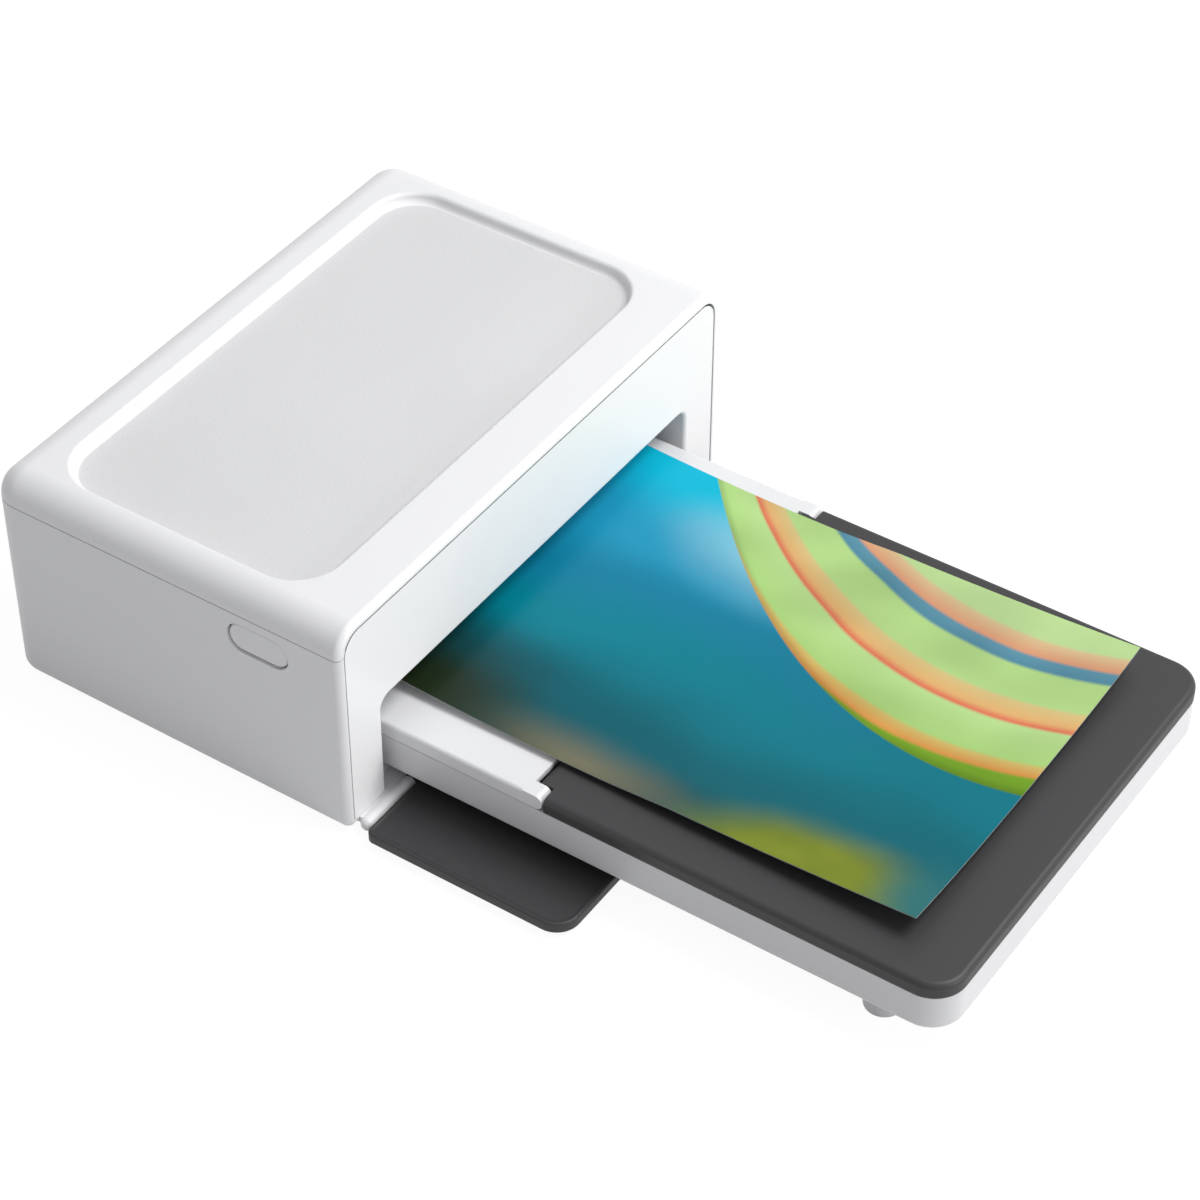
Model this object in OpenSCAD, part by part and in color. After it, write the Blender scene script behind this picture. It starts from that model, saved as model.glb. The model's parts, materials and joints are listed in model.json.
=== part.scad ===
// Compact photo printer: paper cassette pushed in, front flap open, one finished print on the lid.
// Origin under the middle of the footprint, +X to the right, +Y to the rear, +Z up, millimetres.
// Modules are drawn from the front plane of the case, and place() moves them to the origin.

/* [Case] */
// Width of the case
case_w = 166; // [164:0.5:190]
// Depth of the case without the cassette
case_d = 109; // [104:0.5:140]
// Height of the top face above the table
case_h = 66.2; // [66:0.1:80]
// Height of the rubber feet
foot_h = 2; // [1.5:0.1:3]
// Wall of the housing and of the cover
wall = 2.2; // [1.8:0.1:2.4]
// Radius of the rear upright corners
corner_r = 8; // [6:0.5:10]
// Radius along the top edges
top_r = 8; // [5:0.5:8]
// Radius along the bottom edges
bottom_r = 2.5; // [2.5:0.5:5]
// Radius of the edge round the front of the case
brow_r = 2; // [1:0.1:2.4]
// Height of the seam below the top face
seam_drop = 7.7; // [7.5:0.1:9]
// Width of the seam
seam_gap = 0.3; // [0.1:0.05:0.4]

/* [Top recess] */
// Distance from the side of the case to the recess
recess_in = 9.4; // [9.4:0.1:20]
// Distance from the front plane to the recess
recess_y = 16; // [12:0.5:18]
// Distance from the rear of the case to the recess
recess_back = 13; // [12:0.5:24]
// Depth of the recess
recess_depth = 3; // [2.6:0.1:4.2]
// Corner radius of the recess in plan
recess_r = 13; // [9:0.5:20]
// Radius of the cove between the recess wall and its floor
cove_r = 1.8; // [1:0.1:2.4]
// Radius round the rim of the recess
recess_rim = 1.1; // [0.5:0.1:1.2]

/* [Front bezel] */
// Distance from the side of the case to the mouth
mouth_in = 15.4; // [15:0.1:16]
// Height of the lintel above the table
mouth_z = 34.5; // [33.8:0.1:37]
// Corner radius of the mouth
mouth_r = 3.5; // [2:0.5:6]
// Thickness of the bezel plate
bezel_t = 3; // [2.6:0.1:3.2]
// Step from the case rim back to the bezel face
bezel_step = 0.1; // [0.05:0.05:0.6]
// Depth of the walls behind the mouth
return_d = 9.6; // [6:0.2:9.8]
// Wall of the returns behind the mouth
return_t = 2; // [1.5:0.1:2.2]
// Soft lip around the mouth
lip_r = 1; // [1:0.1:2.4]
// Gap between the bezel and the case
bezel_gap = 0.5; // [0.2:0.05:0.6]

/* [Front flap] */
// Reach of the flap from its hinge
flap_l = 61.4; // [50:0.2:64]
// Thickness of the flap at its rim
flap_t = 3.3; // [2.8:0.1:3.6]
// Height of the flap's underside above the table
flap_z = 1.7; // [1.2:0.1:2]
// Height of the raised rim
flap_rim = 0.4; // [0.2:0.1:0.8]
// Corner radius of the flap
flap_r = 6.5; // [4:0.5:12]
// Radius of the corners beside the hinge of the flap
flap_root_r = 2; // [2:0.5:4]
// Distance from the front plane to the hinge axis
flap_axis = 2.6; // [2.4:0.1:3]
// Radius of the hinge barrels
flap_barrel_r = 1.9; // [1.7:0.1:2]
// Length of each housing barrel
flap_barrel_l = 19.3; // [12:0.1:24]
// Radius of the hinge pins
flap_pin_r = 0.9; // [0.7:0.05:1.1]

/* [Cassette] */
// Gap between the cassette and each side of the mouth
cass_play = 2.85; // [2.6:0.05:3.2]
// Distance from the front plane to the cassette's outer end
cass_reach = 157; // [150:1:170]
// Height of the cassette base
cass_base_h = 10.8; // [10.4:0.1:12]
// Height of the lid and of the inner cover
cass_top_h = 4.15; // [4:0.05:5]
// Wall of the cassette
cass_wall = 2; // [1.6:0.1:2.2]
// Floor and top plate of the cassette
cass_floor = 1.6; // [1.2:0.1:1.8]
// Corner radius at the outer end
cass_r = 9; // [6:0.5:12]
// Rounding along the lid's top edge
lid_edge_r = 1.6; // [0.8:0.1:1.8]
// Distance from the front plane to the lid's hinge axis
lid_axis = 43; // [42:0.5:60]
// Width of the hinge ears
ear_w = 4.45; // [4:0.05:5]
// Diameter of the feet under the cassette
cass_foot = 10; // [8:0.5:12]
// Distance from the side of the cassette to its feet
foot_side = 4.5; // [3:0.5:8]
// Distance from the outer end of the cassette to its feet
foot_end = 16; // [12:0.5:24]
// Radius of the lid's pins
lid_pin_r = 0.8; // [0.6:0.05:1]
// Gap between the seams of the cassette
cass_gap = 0.2; // [0.1:0.05:0.3]

/* [Paper] */
// Distance from the side of the cassette to a centred sheet
sheet_in = 13.75; // [13.5:0.25:20]
// Length of a sheet
paper_l = 152; // [127:0.5:152]
// Height of the paper stack
stack_h = 4.5; // [1:0.1:4.8]
// Offset of the paper path to the right
paper_x = 4; // [0:0.5:4]
// Width of the finished print
print_w = 110; // [102:1:112]
// Offset of the finished print to the right
print_x = 2.5; // [0:0.5:4]
// Thickness of the finished print
print_t = 0.25; // [0.2:0.05:0.4]
// How far the finished print reaches into the mouth
print_in = 11; // [5:0.5:11]

/* [Power button] */
// Length of the button
button_l = 17.9; // [14:0.1:20]
// Height of the button
button_h = 8.3; // [6:0.1:9]
// Distance from the front plane to the button's middle
button_y = 24.75; // [24:0.05:25]
// Distance from the seam down to the button's middle
button_drop = 7.25; // [7:0.05:8]
// Gap around the button
button_gap = 0.4; // [0.3:0.05:0.6]
// Travel of the button
button_travel = 0.8; // [0.4:0.1:0.8]

/* [Cartridge door] */
// Length of the door
door_l = 65; // [60:0.5:65]
// Height of the door
door_h = 26; // [24:0.2:26]
// Gap around the door
door_gap = 0.3; // [0.2:0.05:0.4]
// Radius of the door's pins
door_pin_r = 0.6; // [0.4:0.05:0.7]

/* [Ribbon] */
// Outer radius of the cartridge tubes
tube_r = 10.2; // [9.8:0.1:10.2]
// Wall of the cartridge tubes
tube_wall = 1.2; // [1:0.1:1.4]
// Distance between the tubes
tube_gap = 37; // [36.5:0.1:37.5]
// Gap between the cartridge and the side plates
tube_play = 6; // [5.5:0.5:10]
// Width of the handle at the open end
handle_t = 4; // [3:0.2:4]
// Radius of the film on the supply spool
supply_r = 7.5; // [4:0.1:8.5]
// Radius of the film on the take-up spool
takeup_r = 5; // [4:0.1:8.5]
// Thickness of the film
film_t = 0.15; // [0.1:0.01:0.16]
// Radius of the spool journals
journal_r = 2; // [1.5:0.1:2.2]

/* [Rollers] */
// Radius of the platen roller
platen_r = 7; // [6.8:0.1:7]
// Radius of the platen shaft
platen_shaft_r = 3; // [2:0.1:3.2]
// Radius of the feed roller
feed_r = 3.5; // [3.2:0.1:3.6]
// Radius of the feed roller's journals
feed_shaft_r = 2.5; // [1.5:0.1:2.6]
// Radius of the pinch roller
pinch_r = 1.6; // [1.4:0.1:1.6]
// Radius of the pickup roller
pickup_r = 4; // [3.6:0.1:4]
// Gap left for the paper under each roller
nip = 0.3; // [0.2:0.05:0.35]
// Radial clearance of shafts and pins
run = 0.05; // [0.03:0.01:0.08]

/* [Gears] */
// Gear module: pitch diameter for each tooth
gear_m = 0.6; // [0.58:0.01:0.6]
// Thickness of the gears
gear_t = 3; // [2:0.1:3.2]

/* [Mechanism] */
// Distance from the side of the case to the side plates
plate_in = 13; // [12.8:0.1:13.2]
// Thickness of the side plates
plate_t = 1.2; // [1:0.1:1.2]
// Height of the cassette rails above the floor
rail_h = 4.3; // [4.2:0.1:4.6]
// Radius of the drive motor
motor_r = 11; // [9:0.5:11]
// Length of the drive motor
motor_l = 19; // [14:0.5:22]
// Length of the pickup arm from its shaft to its roller
arm_l = 17.5; // [16:0.1:18]
// Radius of the print head's pivot rod
head_rod_r = 1.5; // [1.2:0.1:1.6]
// Height of the circuit board above the floor
board_lift = 2.8; // [2:0.1:3]
// Thickness of the circuit boards
board_t = 1.6; // [1:0.1:1.6]

/* [Fasteners] */
// Radius of the screw posts
post_r = 4.2; // [4.1:0.05:4.2]
// Radius of the case screws
screw_r = 1.2; // [1:0.05:1.3]
// Radius of the screw heads
screw_head_r = 2.4; // [2:0.1:2.5]

/* [Hidden] */
$fn = 48;
eps = 0.01;

// Overall frame
front_y = (cass_reach - case_d) / 2;
half_w = case_w / 2;
plate_x = half_w - plate_in;
mouth_w = case_w - 2 * mouth_in;
cass_w = mouth_w - 2 * cass_play;
paper_w = cass_w - 2 * sheet_in;
recess_w = case_w - 2 * recess_in;
inner_x = half_w - wall;
inner_back = case_d - wall;
floor_z = foot_h + wall;
seam_z = case_h - seam_drop;
roof_z = case_h - wall;

// Recess and the pan under it
recess_y1 = case_d - recess_back;
pan_t = 2;
pan_z = case_h - recess_depth - pan_t;
plate_clear = 2.2;

// Mechanism, from the rear wall forward
hub_r = 3;
rear_clear = 4.3;
head_reach = 13.36;
head_y = inner_back - rear_clear - hub_r;
supply_y = head_y - head_reach;
takeup_y = supply_y - tube_gap;
feed_y = takeup_y;
ramp_t = 2.7;
ramp_y = feed_y - feed_r - 0.4 - ramp_t;
cass_in = ramp_y - 0.5;

// Heights, from the floor up
cass_z = floor_z + rail_h + 0.2;
cass_seam = cass_z + cass_base_h;
lid_z = cass_seam + cass_gap;
cass_top = lid_z + cass_top_h;
guide_t = 1;
guide_z = cass_top + 3.95;
feed_z = guide_z + guide_t + 0.84 - feed_r;

// Gear train: each axis lies where its gear meshes with the one before, and the record's couplings
// repeat these tooth counts
platen_teeth = 20;
idler_teeth = 20;
feed_teeth = 20;
takeup_teeth = 40;
reduction_teeth = 24;
pinion_teeth = 10;
function pitch_r(teeth) = gear_m * teeth / 2;
function polar(a) = [cos(a), sin(a)];
function mesh_at(from, a, t1, t2) = from + polar(a) * (pitch_r(t1) + pitch_r(t2));
function next_phase(a, phase, t1, t2) = a + 180 + 180 / t2 - (phase - a) * t1 / t2;
feed_c = [feed_y, feed_z];
feed_idler_a = -48;
idler_platen_a = 35;
platen_red_a = -25;
red_pinion_a = -10;
idler_c = mesh_at(feed_c, feed_idler_a, feed_teeth, idler_teeth);
platen_c = mesh_at(idler_c, idler_platen_a, idler_teeth, platen_teeth);
takeup_c = mesh_at(feed_c, 90, feed_teeth, takeup_teeth);
red_c = mesh_at(platen_c, platen_red_a, platen_teeth, reduction_teeth);
pinion_c = mesh_at(red_c, red_pinion_a, reduction_teeth, pinion_teeth);
feed_ph = feed_idler_a;
idler_ph = next_phase(feed_idler_a, feed_ph, feed_teeth, idler_teeth);
platen_ph = next_phase(idler_platen_a, idler_ph, idler_teeth, platen_teeth);
takeup_ph = next_phase(90, feed_ph, feed_teeth, takeup_teeth);
red_ph = next_phase(platen_red_a, platen_ph, platen_teeth, reduction_teeth);
pinion_ph = next_phase(red_pinion_a, red_ph, reduction_teeth, pinion_teeth);
gear_x = -plate_x - plate_t - 1 - gear_t;

// Ribbon path and print head
supply_c = [supply_y, takeup_c[1]];
head_c = [head_y, takeup_c[1] + 6.96];
tube_x0 = -plate_x + tube_play + 2;
tube_x1 = plate_x - tube_play;
platen_top = platen_c[1] + platen_r;
film_z = platen_top + 0.12;
film_flat = 6.7;
film_y0 = platen_c[0] - film_flat;
film_y1 = platen_c[0] + film_flat;
glaze_z = film_z + film_t + 0.13;
glaze_t = 1;
sink_z = glaze_z + glaze_t;
arm_t = 2;
arm_z = takeup_c[1] + tube_r + 0.76;

// Cassette
cass_x = cass_w / 2;
lid_c = [-lid_axis, (lid_z + cass_top) / 2];
lid_barrel_r = cass_top_h / 2;
cover_y = -lid_axis + lid_barrel_r + 0.6;
ear_x = cass_x - ear_w;
plate_z = cass_z + cass_floor + 0.6;
lift_t = 0.9;
stack_z = plate_z + lift_t;
stack_y1 = cass_in - cass_wall - 0.3;
stack_top = stack_z + stack_h;
fence_t = 1.6;
well_y = stack_y1 - paper_l - 1;
pickup_back = 16.1;
pickup_c = [feed_y - pickup_back, stack_top + nip + pickup_r];
pickup_shaft_r = 1.2;
pivot_c = [pickup_c[0] - arm_l, cass_top + 1.85];
notch_w = 36;
notch_y = pivot_c[0] - 2;

// Flap
flap_c = [-flap_axis, flap_z + 1.3];
knuckle_x = half_w - 2.4;
barrel_x = knuckle_x - flap_barrel_l;
flap_end = -flap_axis - flap_l;

// Button, switch and door
button_z = seam_z - button_drop;
button_x = -half_w + 0.4;
flange_t = 1.2;
flange_x = -inner_x + 0.2;
switch_x = -plate_x - plate_t - 0.8;
door_y = supply_c[0] + tube_r + 1.7 - door_l;
door_z = seam_z - 1.5 - door_h;
door_axis_x = half_w - wall / 2;
door_axis_z = door_z + wall / 2;

// Posts, board and screws
post_x = inner_x - post_r - 0.2;
post_front = bezel_step + bezel_t + post_r + 0.4;
post_back = case_d - corner_r;
post_z = seam_z - 8.5;
board_z = floor_z + board_lift;
board_top = board_z + board_t;
board_x0 = -plate_x + 25;
board_x1 = plate_x - 10;
board_y0 = feed_y + 1;
board_y1 = inner_back - 1.8;
board_hole_in = 4;
inlet_x = board_x1 - 15.5;
inlet_h = 11;
inlet_z = board_top + inlet_h / 2;
usb_x = board_x1 - 32;
foot_r = 6;
foot_in = 15;
foot_front = 20;
foot_back = 16;
vent_n = 6;
vent_w = 2;
vent_pitch = 8;
vent_x = -plate_x + 10;
plate_foot_y = feed_y + 1;
plate_foot_l = 28;
plate_foot_w = 8;
plate_screw_in = 4;

// Parts on the board: left, front, width, length and height
chips = [[33, 10, 16, 16, 1.4], [55, 12, 8, 12, 1], [71, 8, 8, 8, 2.2], [95, 14, 8, 20, 6]];
capacitor_r = 2.6;
capacitor_h = 7;

// Rollers
roller_x0 = paper_x - paper_w / 2 - 2.5;
roller_x1 = paper_x + paper_w / 2 + 2.5;

function film_angle(c, y) = atan2(film_z - c[1], y - c[0]);

module place() translate([0, front_y, 0]) children();

// Square-cornered outline with its own radius at each corner: near left, near right, far right, far left
module outline(x0, x1, y0, y1, r) {
    difference() {
        translate([x0, y0]) square([x1 - x0, y1 - y0]);
        for (c = [
            [x0, y0, 1, 1, r[0]], [x1, y0, -1, 1, r[1]], [x1, y1, -1, -1, r[2]], [x0, y1, 1, -1, r[3]]
        ])
            if (c[4] > 0) translate([c[0], c[1]])
                mirror([c[2] < 0 ? 1 : 0, 0]) mirror([0, c[3] < 0 ? 1 : 0]) difference() {
                    translate([-1, -1]) square(c[4] + 1);
                    translate([c[4], c[4]]) circle(c[4]);
                }
    }
}

module along_x(x0, x1) translate([x0, 0, 0]) rotate([90, 0, 90]) linear_extrude(x1 - x0) children();
module along_y(y0, y1) translate([0, y1, 0]) rotate([90, 0, 0]) linear_extrude(y1 - y0) children();
module along_z(z0, z1) translate([0, 0, z0]) linear_extrude(z1 - z0) children();
module box(x0, x1, y0, y1, z0, z1) translate([x0, y0, z0]) cube([x1 - x0, y1 - y0, z1 - z0]);
module rod(x0, x1, c, r) translate([x0, c[0], c[1]]) rotate([0, 90, 0]) cylinder(h = x1 - x0, r = r);
module post(x, y, z0, z1, r) translate([x, y, z0]) cylinder(h = z1 - z0, r = r);
module pair() {
    children();
    mirror([1, 0, 0]) children();
}

// Slab with rounded upright corners at its far end and rounded top and bottom edges
module soft_slab(hw, y0, y1, z0, z1, rc, rt, rb) {
    along_y(y0, y1 - rc) outline(-hw, hw, z0, z1, [rb, rb, rt, rt]);
    along_x(-hw + rc, hw - rc) outline(y0, y1, z0, z1, [0, rb, rt, 0]);
    pair() translate([hw - rc, y1 - rc, 0]) rotate_extrude() outline(0, rc, z0, z1, [0, rb, rt, 0]);
}

module case_form(inset, y0) {
    soft_slab(half_w - inset, y0, case_d - inset, foot_h + inset, case_h - inset,
        corner_r - inset, min(top_r, corner_r) - inset, bottom_r - inset);
}

module case_plan(inset, y0) {
    r = corner_r - inset;
    outline(-half_w + inset, half_w - inset, y0, case_d - inset, [0, 0, r, r]);
}

// What a round edge takes off a square corner that lies at the origin
module edge_corner(r) {
    difference() {
        translate([-eps, -eps]) square(r + eps);
        translate([r, r]) circle(r);
    }
}

// The same round a corner of radius rc, in the quadrant that starts at angle a
module edge_turn(x, z, a, rc) {
    translate([x, 0, z]) rotate([-90, 0, 0]) rotate([0, 0, a])
        rotate_extrude(angle = 90) translate([rc, 0]) mirror([1, 0]) edge_corner(brow_r);
}

module case_brow() {
    rt = min(top_r, corner_r);
    rb = bottom_r;
    along_x(-half_w + rt, half_w - rt) translate([0, case_h]) mirror([0, 1]) edge_corner(brow_r);
    along_x(-half_w + rb, half_w - rb) translate([0, foot_h]) edge_corner(brow_r);
    pair() along_z(foot_h + rb, case_h - rt) translate([half_w, 0]) mirror([1, 0]) edge_corner(brow_r);
    pair() edge_turn(half_w - rt, case_h - rt, -90, rt);
    pair() edge_turn(half_w - rb, foot_h + rb, 0, rb);
}

module case_shell() {
    difference() {
        case_form(0, 0);
        case_form(wall, -1);
        case_brow();
    }
}

// Pill standing in the y-z plane
module pill(len, ht, grow) {
    r = ht / 2 + grow;
    square([len - ht, 2 * r], center = true);
    for (s = [-1, 1]) translate([s * (len - ht) / 2, 0]) circle(r);
}

module four_posts() {
    for (x = [-post_x, post_x]) for (y = [post_front, post_back]) translate([x, y, 0]) children();
}

// ---- Housing ----

module base_housing() place() color("whitesmoke") {
    difference() {
        union() {
            intersection() {
                case_shell();
                box(-case_w, case_w, -1, case_d + 1, 0, seam_z - seam_gap / 2);
            }
            four_posts() post(0, 0, foot_h, post_z, post_r);
            board_standoffs();
            pair() flap_knuckle();
            box(-barrel_x - 1, barrel_x + 1, flap_c[0] + flap_barrel_r + 0.35, wall,
                foot_h, flap_c[1] + 0.9);
        }
        four_posts() post(0, 0, foot_h - 1, post_z - 6, screw_head_r + 0.4);
        four_posts() post(0, 0, 0, post_z + 1, screw_r + 0.3);
        along_x(-half_w - 1, -inner_x + 1)
            translate([button_y, button_z]) pill(button_l, button_h, button_gap);
        door_hole();
        rear_holes();
        pair() rod(barrel_x - 1, barrel_x + 10.7, flap_c, flap_pin_r);
        for (i = [0:vent_n - 1]) translate([vent_x + i * vent_pitch, 0, 0])
            box(0, vent_w, inner_back - 1, case_d + 1, 10, 22);
    }
}

module flap_knuckle() {
    rod(barrel_x, knuckle_x - flap_barrel_r, flap_c, flap_barrel_r);
    translate([knuckle_x - flap_barrel_r, flap_c[0], flap_c[1]]) sphere(flap_barrel_r);
    box(barrel_x, knuckle_x - flap_barrel_r, flap_c[0], wall, foot_h, flap_c[1] + 0.9);
}

module at_board_holes() {
    i = board_hole_in;
    for (x = [board_x0 + i, board_x1 - i]) for (y = [board_y0 + i, board_y1 - i])
        translate([x, y, 0]) children();
}

module board_standoffs() at_board_holes() post(0, 0, foot_h + 0.5, board_z, 2.6);

module door_hole() {
    box(inner_x - 1, half_w + 1, door_y - door_gap, door_y + door_l + door_gap,
        door_z - door_gap, door_z + door_h + door_gap);
    rod_along_door(door_y - 4, door_y + door_l + 4, door_pin_r);
}

module rod_along_door(y0, y1, r) {
    translate([door_axis_x, y1, door_axis_z]) rotate([90, 0, 0]) cylinder(h = y1 - y0, r = r);
}

module rear_holes() {
    box(paper_x - paper_w / 2 - 5, paper_x + paper_w / 2 + 5, inner_back - 1, case_d + 1,
        platen_top - 2.5, platen_top + 2.5);
    along_y(inner_back - 1, case_d + 1) translate([inlet_x, inlet_z]) circle(4.1);
    box(usb_x - 4.4, usb_x + 4.4, inner_back - 1, case_d + 1, board_top - 0.3, board_top + 3.3);
}

module recess_form() {
    rx = recess_w / 2;
    z0 = case_h - recess_depth;
    z1 = case_h + 1;
    along_y(recess_y + recess_r, recess_y1 - recess_r) outline(-rx, rx, z0, z1, [cove_r, cove_r, 0, 0]);
    along_x(-rx + recess_r, rx - recess_r)
        outline(recess_y, recess_y1, z0, z1, [cove_r, cove_r, 0, 0]);
    for (x = [-rx + recess_r, rx - recess_r]) for (y = [recess_y + recess_r, recess_y1 - recess_r])
        translate([x, y, 0]) rotate_extrude() outline(0, recess_r, z0, z1, [0, cove_r, 0, 0]);
}

// Rounds the rim of the recess
module recess_lip() {
    rx = recess_w / 2;
    along_x(-rx + recess_r, rx - recess_r) {
        translate([recess_y, case_h]) rotate(180) edge_corner(recess_rim);
        translate([recess_y1, case_h]) mirror([0, 1]) edge_corner(recess_rim);
    }
    pair() along_y(recess_y + recess_r, recess_y1 - recess_r)
        translate([rx, case_h]) mirror([0, 1]) edge_corner(recess_rim);
    for (c = [[1, recess_y1 - recess_r, 0], [-1, recess_y1 - recess_r, 90],
            [-1, recess_y + recess_r, 180], [1, recess_y + recess_r, 270]])
        translate([c[0] * (rx - recess_r), c[1], case_h]) rotate([0, 0, c[2]])
            rotate_extrude(angle = 90) translate([recess_r, 0]) mirror([0, 1]) edge_corner(recess_rim);
}

module top_cover() place() color("white") {
    rx = recess_w / 2 + pan_t;
    rr = recess_r + pan_t;
    difference() {
        union() {
            intersection() {
                case_shell();
                box(-case_w, case_w, -1, case_d + 1, seam_z + seam_gap / 2, case_h + 1);
            }
            along_z(pan_z, roof_z + 0.5)
                outline(-rx, rx, recess_y - pan_t, recess_y1 + pan_t, [rr, rr, rr, rr]);
            cover_lip();
            four_posts() post(0, 0, post_z + 0.2, roof_z - 0.8, post_r - 0.8);
        }
        recess_form();
        recess_lip();
        four_posts() post(0, 0, post_z, post_z + 9, screw_r + run);
    }
}

// Tongue that locates the cover inside the housing
module cover_lip() {
    y0 = bezel_step + bezel_t + 1;
    along_z(seam_z - 1.4, seam_z + 1.4) difference() {
        case_plan(wall + 0.15, y0);
        case_plan(wall + 1.35, y0 - 1);
    }
    along_z(seam_z + seam_gap, seam_z + 1.4) difference() {
        case_plan(wall - 0.4, y0);
        case_plan(wall + 0.3, y0 - 1);
    }
}

module front_bezel() place() color("white") {
    hx = inner_x - bezel_gap;
    rb = bottom_r - wall;
    z0 = floor_z + 0.1;
    z1 = roof_z - bezel_gap;
    r = top_r - wall;
    y0 = bezel_step;
    mx = mouth_w / 2;
    lower = z0 - 10;
    difference() {
        union() {
            along_y(y0, y0 + bezel_t) outline(-hx, hx, z0, z1, [rb, rb, r, r]);
            along_y(y0, y0 + return_d)
                outline(-mx - return_t, mx + return_t, z0, mouth_z + return_t, [0, 0, mouth_r, mouth_r]);
        }
        along_y(y0 - 1, y0 + return_d + 1) outline(-mx, mx, lower, mouth_z, [0, 0, mouth_r, mouth_r]);
        along_x(-mx + mouth_r, mx - mouth_r) translate([y0, mouth_z]) edge_corner(lip_r);
        pair() along_z(z0 - 1, mouth_z - mouth_r) translate([mx, y0]) mirror([1, -1]) edge_corner(lip_r);
        pair() translate([mx - mouth_r, y0, mouth_z - mouth_r]) rotate([-90, 0, 0]) rotate([0, 0, -90])
            rotate_extrude(angle = 90) translate([mouth_r, 0]) mirror([1, -1]) edge_corner(lip_r);
    }
}

module rubber_feet() place() color("dimgray")
    pair() for (y = [foot_front, case_d - foot_back]) post(half_w - foot_in, y, 0, foot_h, foot_r);

module cassette_rails() place() color("gainsboro") pair() {
    x1 = mouth_w / 2 - 0.7;
    y0 = bezel_step + bezel_t + 0.7;
    box(cass_x - 8.75, x1, y0, cass_in - 1, floor_z, cass_z - 0.2);
    box(cass_x + 0.4, x1, y0, cass_in - 1, floor_z, cass_z + 5);
}

// ---- Chassis ----

module plate_outline() {
    outline(post_front, head_y + hub_r + 0.5, floor_z, pan_z - plate_clear, [0, 0, 3, 3]);
}

module shaft_holes() {
    translate(platen_c) circle(platen_shaft_r + run);
    translate(feed_c) circle(feed_shaft_r + run);
    translate(head_c) circle(head_rod_r);
    translate(pivot_c) circle(pickup_shaft_r);
}

module at_plate_screws() {
    for (y = [plate_screw_in, plate_foot_l - plate_screw_in])
        translate([plate_x - plate_foot_w / 2, plate_foot_y + y, 0]) children();
}

module plate_foot() {
    difference() {
        box(plate_x - plate_foot_w, plate_x, plate_foot_y, plate_foot_y + plate_foot_l,
            floor_z, floor_z + plate_t);
        at_plate_screws() post(0, 0, floor_z - 1, floor_z + 3, 1.1);
    }
}

module chassis_left() place() color("silver") {
    along_x(-plate_x - plate_t, -plate_x) difference() {
        plate_outline();
        shaft_holes();
        translate(takeup_c) circle(hub_r + run);
        translate(pinion_c) circle(4);
        for (c = [idler_c, red_c]) translate(c) circle(head_rod_r);
    }
    mirror([1, 0, 0]) plate_foot();
}

module chassis_right() place() color("silver") {
    along_x(plate_x, plate_x + plate_t) difference() {
        plate_outline();
        shaft_holes();
        cartridge_profile(0.6);
    }
    plate_foot();
}

module chassis_bars() place() color("silver") {
    box(-plate_x, plate_x, post_front + 2, post_front + 5, pan_z - 9, pan_z - 2);
    bar_z = board_top + inlet_h + 0.7;
    box(-plate_x, plate_x, head_y + 0.8, head_y + 3.2, bar_z, bar_z + 4.8);
}

module exit_guide() place() color("dimgray")
    box(-plate_x, plate_x, pivot_c[0] - 3.4, ramp_y + 1.2, guide_z, guide_z + guide_t);

module pinch_bracket() {
    c = pinch_c();
    difference() {
        outline(ramp_y, c[0] + 2, c[1] - 1.3, c[1] + 1.3, [0, 0, 1, 0]);
        translate(c) circle(1 + run);
    }
}

function pinch_c() = [feed_y, feed_z + feed_r + nip + pinch_r];

module upper_guide() place() color("dimgray") {
    z0 = pinch_c()[1] - 0.6;
    box(-plate_x, plate_x, ramp_y - 8.5, ramp_y + 0.5, z0, z0 + 1.5);
    for (s = [-1, 1]) translate([paper_x + s * (paper_w / 2 - 0.3), 0, 0])
        along_x(-0.7, 0.7) pinch_bracket();
}

module lower_guide() place() color("dimgray") {
    z1 = feed_z - feed_r - 1.5;
    along_x(-plate_x, plate_x)
        polygon([[ramp_y, z1 - 9], [ramp_y + ramp_t, z1 - 9], [ramp_y + ramp_t, z1], [ramp_y + 1.4, z1]]);
}

module rear_guide() place() color("dimgray")
    box(-plate_x, plate_x, platen_c[0] + platen_r + 1, inner_back - 0.4, platen_top - 3.1, platen_top - 2.3);

module gear_studs() place() color("gray") {
    for (c = [idler_c, red_c]) {
        rod(gear_x - 0.3, -plate_x, c, head_rod_r);
        rod(gear_x - 1.1, gear_x - 0.3, c, head_rod_r + 0.9);
        rod(-plate_x - plate_t - 0.8, -plate_x - plate_t, c, head_rod_r + 0.9);
    }
}

module drive_motor() place() color("silver") difference() {
    union() {
        rod(-plate_x, -plate_x + motor_l, pinion_c, motor_r);
        rod(-plate_x - plate_t, -plate_x, pinion_c, 3.9);
    }
    rod(-plate_x - plate_t - 1, -plate_x + 10, pinion_c, 1 + run);
}

module head_rod() place() color("silver") rod(-plate_x - plate_t, plate_x + plate_t, head_c, head_rod_r);

module head_springs() place() color("gray")
    for (x = [paper_x - 36, paper_x + 26]) difference() {
        rod(x, x + 10, head_c, head_rod_r + 1.1);
        rod(x - 1, x + 11, head_c, head_rod_r + 0.1);
    }

module pickup_shaft() place() color("silver")
    rod(-plate_x - plate_t, plate_x + plate_t, pivot_c, pickup_shaft_r);

module case_screws() place() color("gray") four_posts() {
    post(0, 0, post_z - 8, post_z - 6, screw_head_r);
    post(0, 0, post_z - 8 + eps, post_z + 7, screw_r);
}

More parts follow.
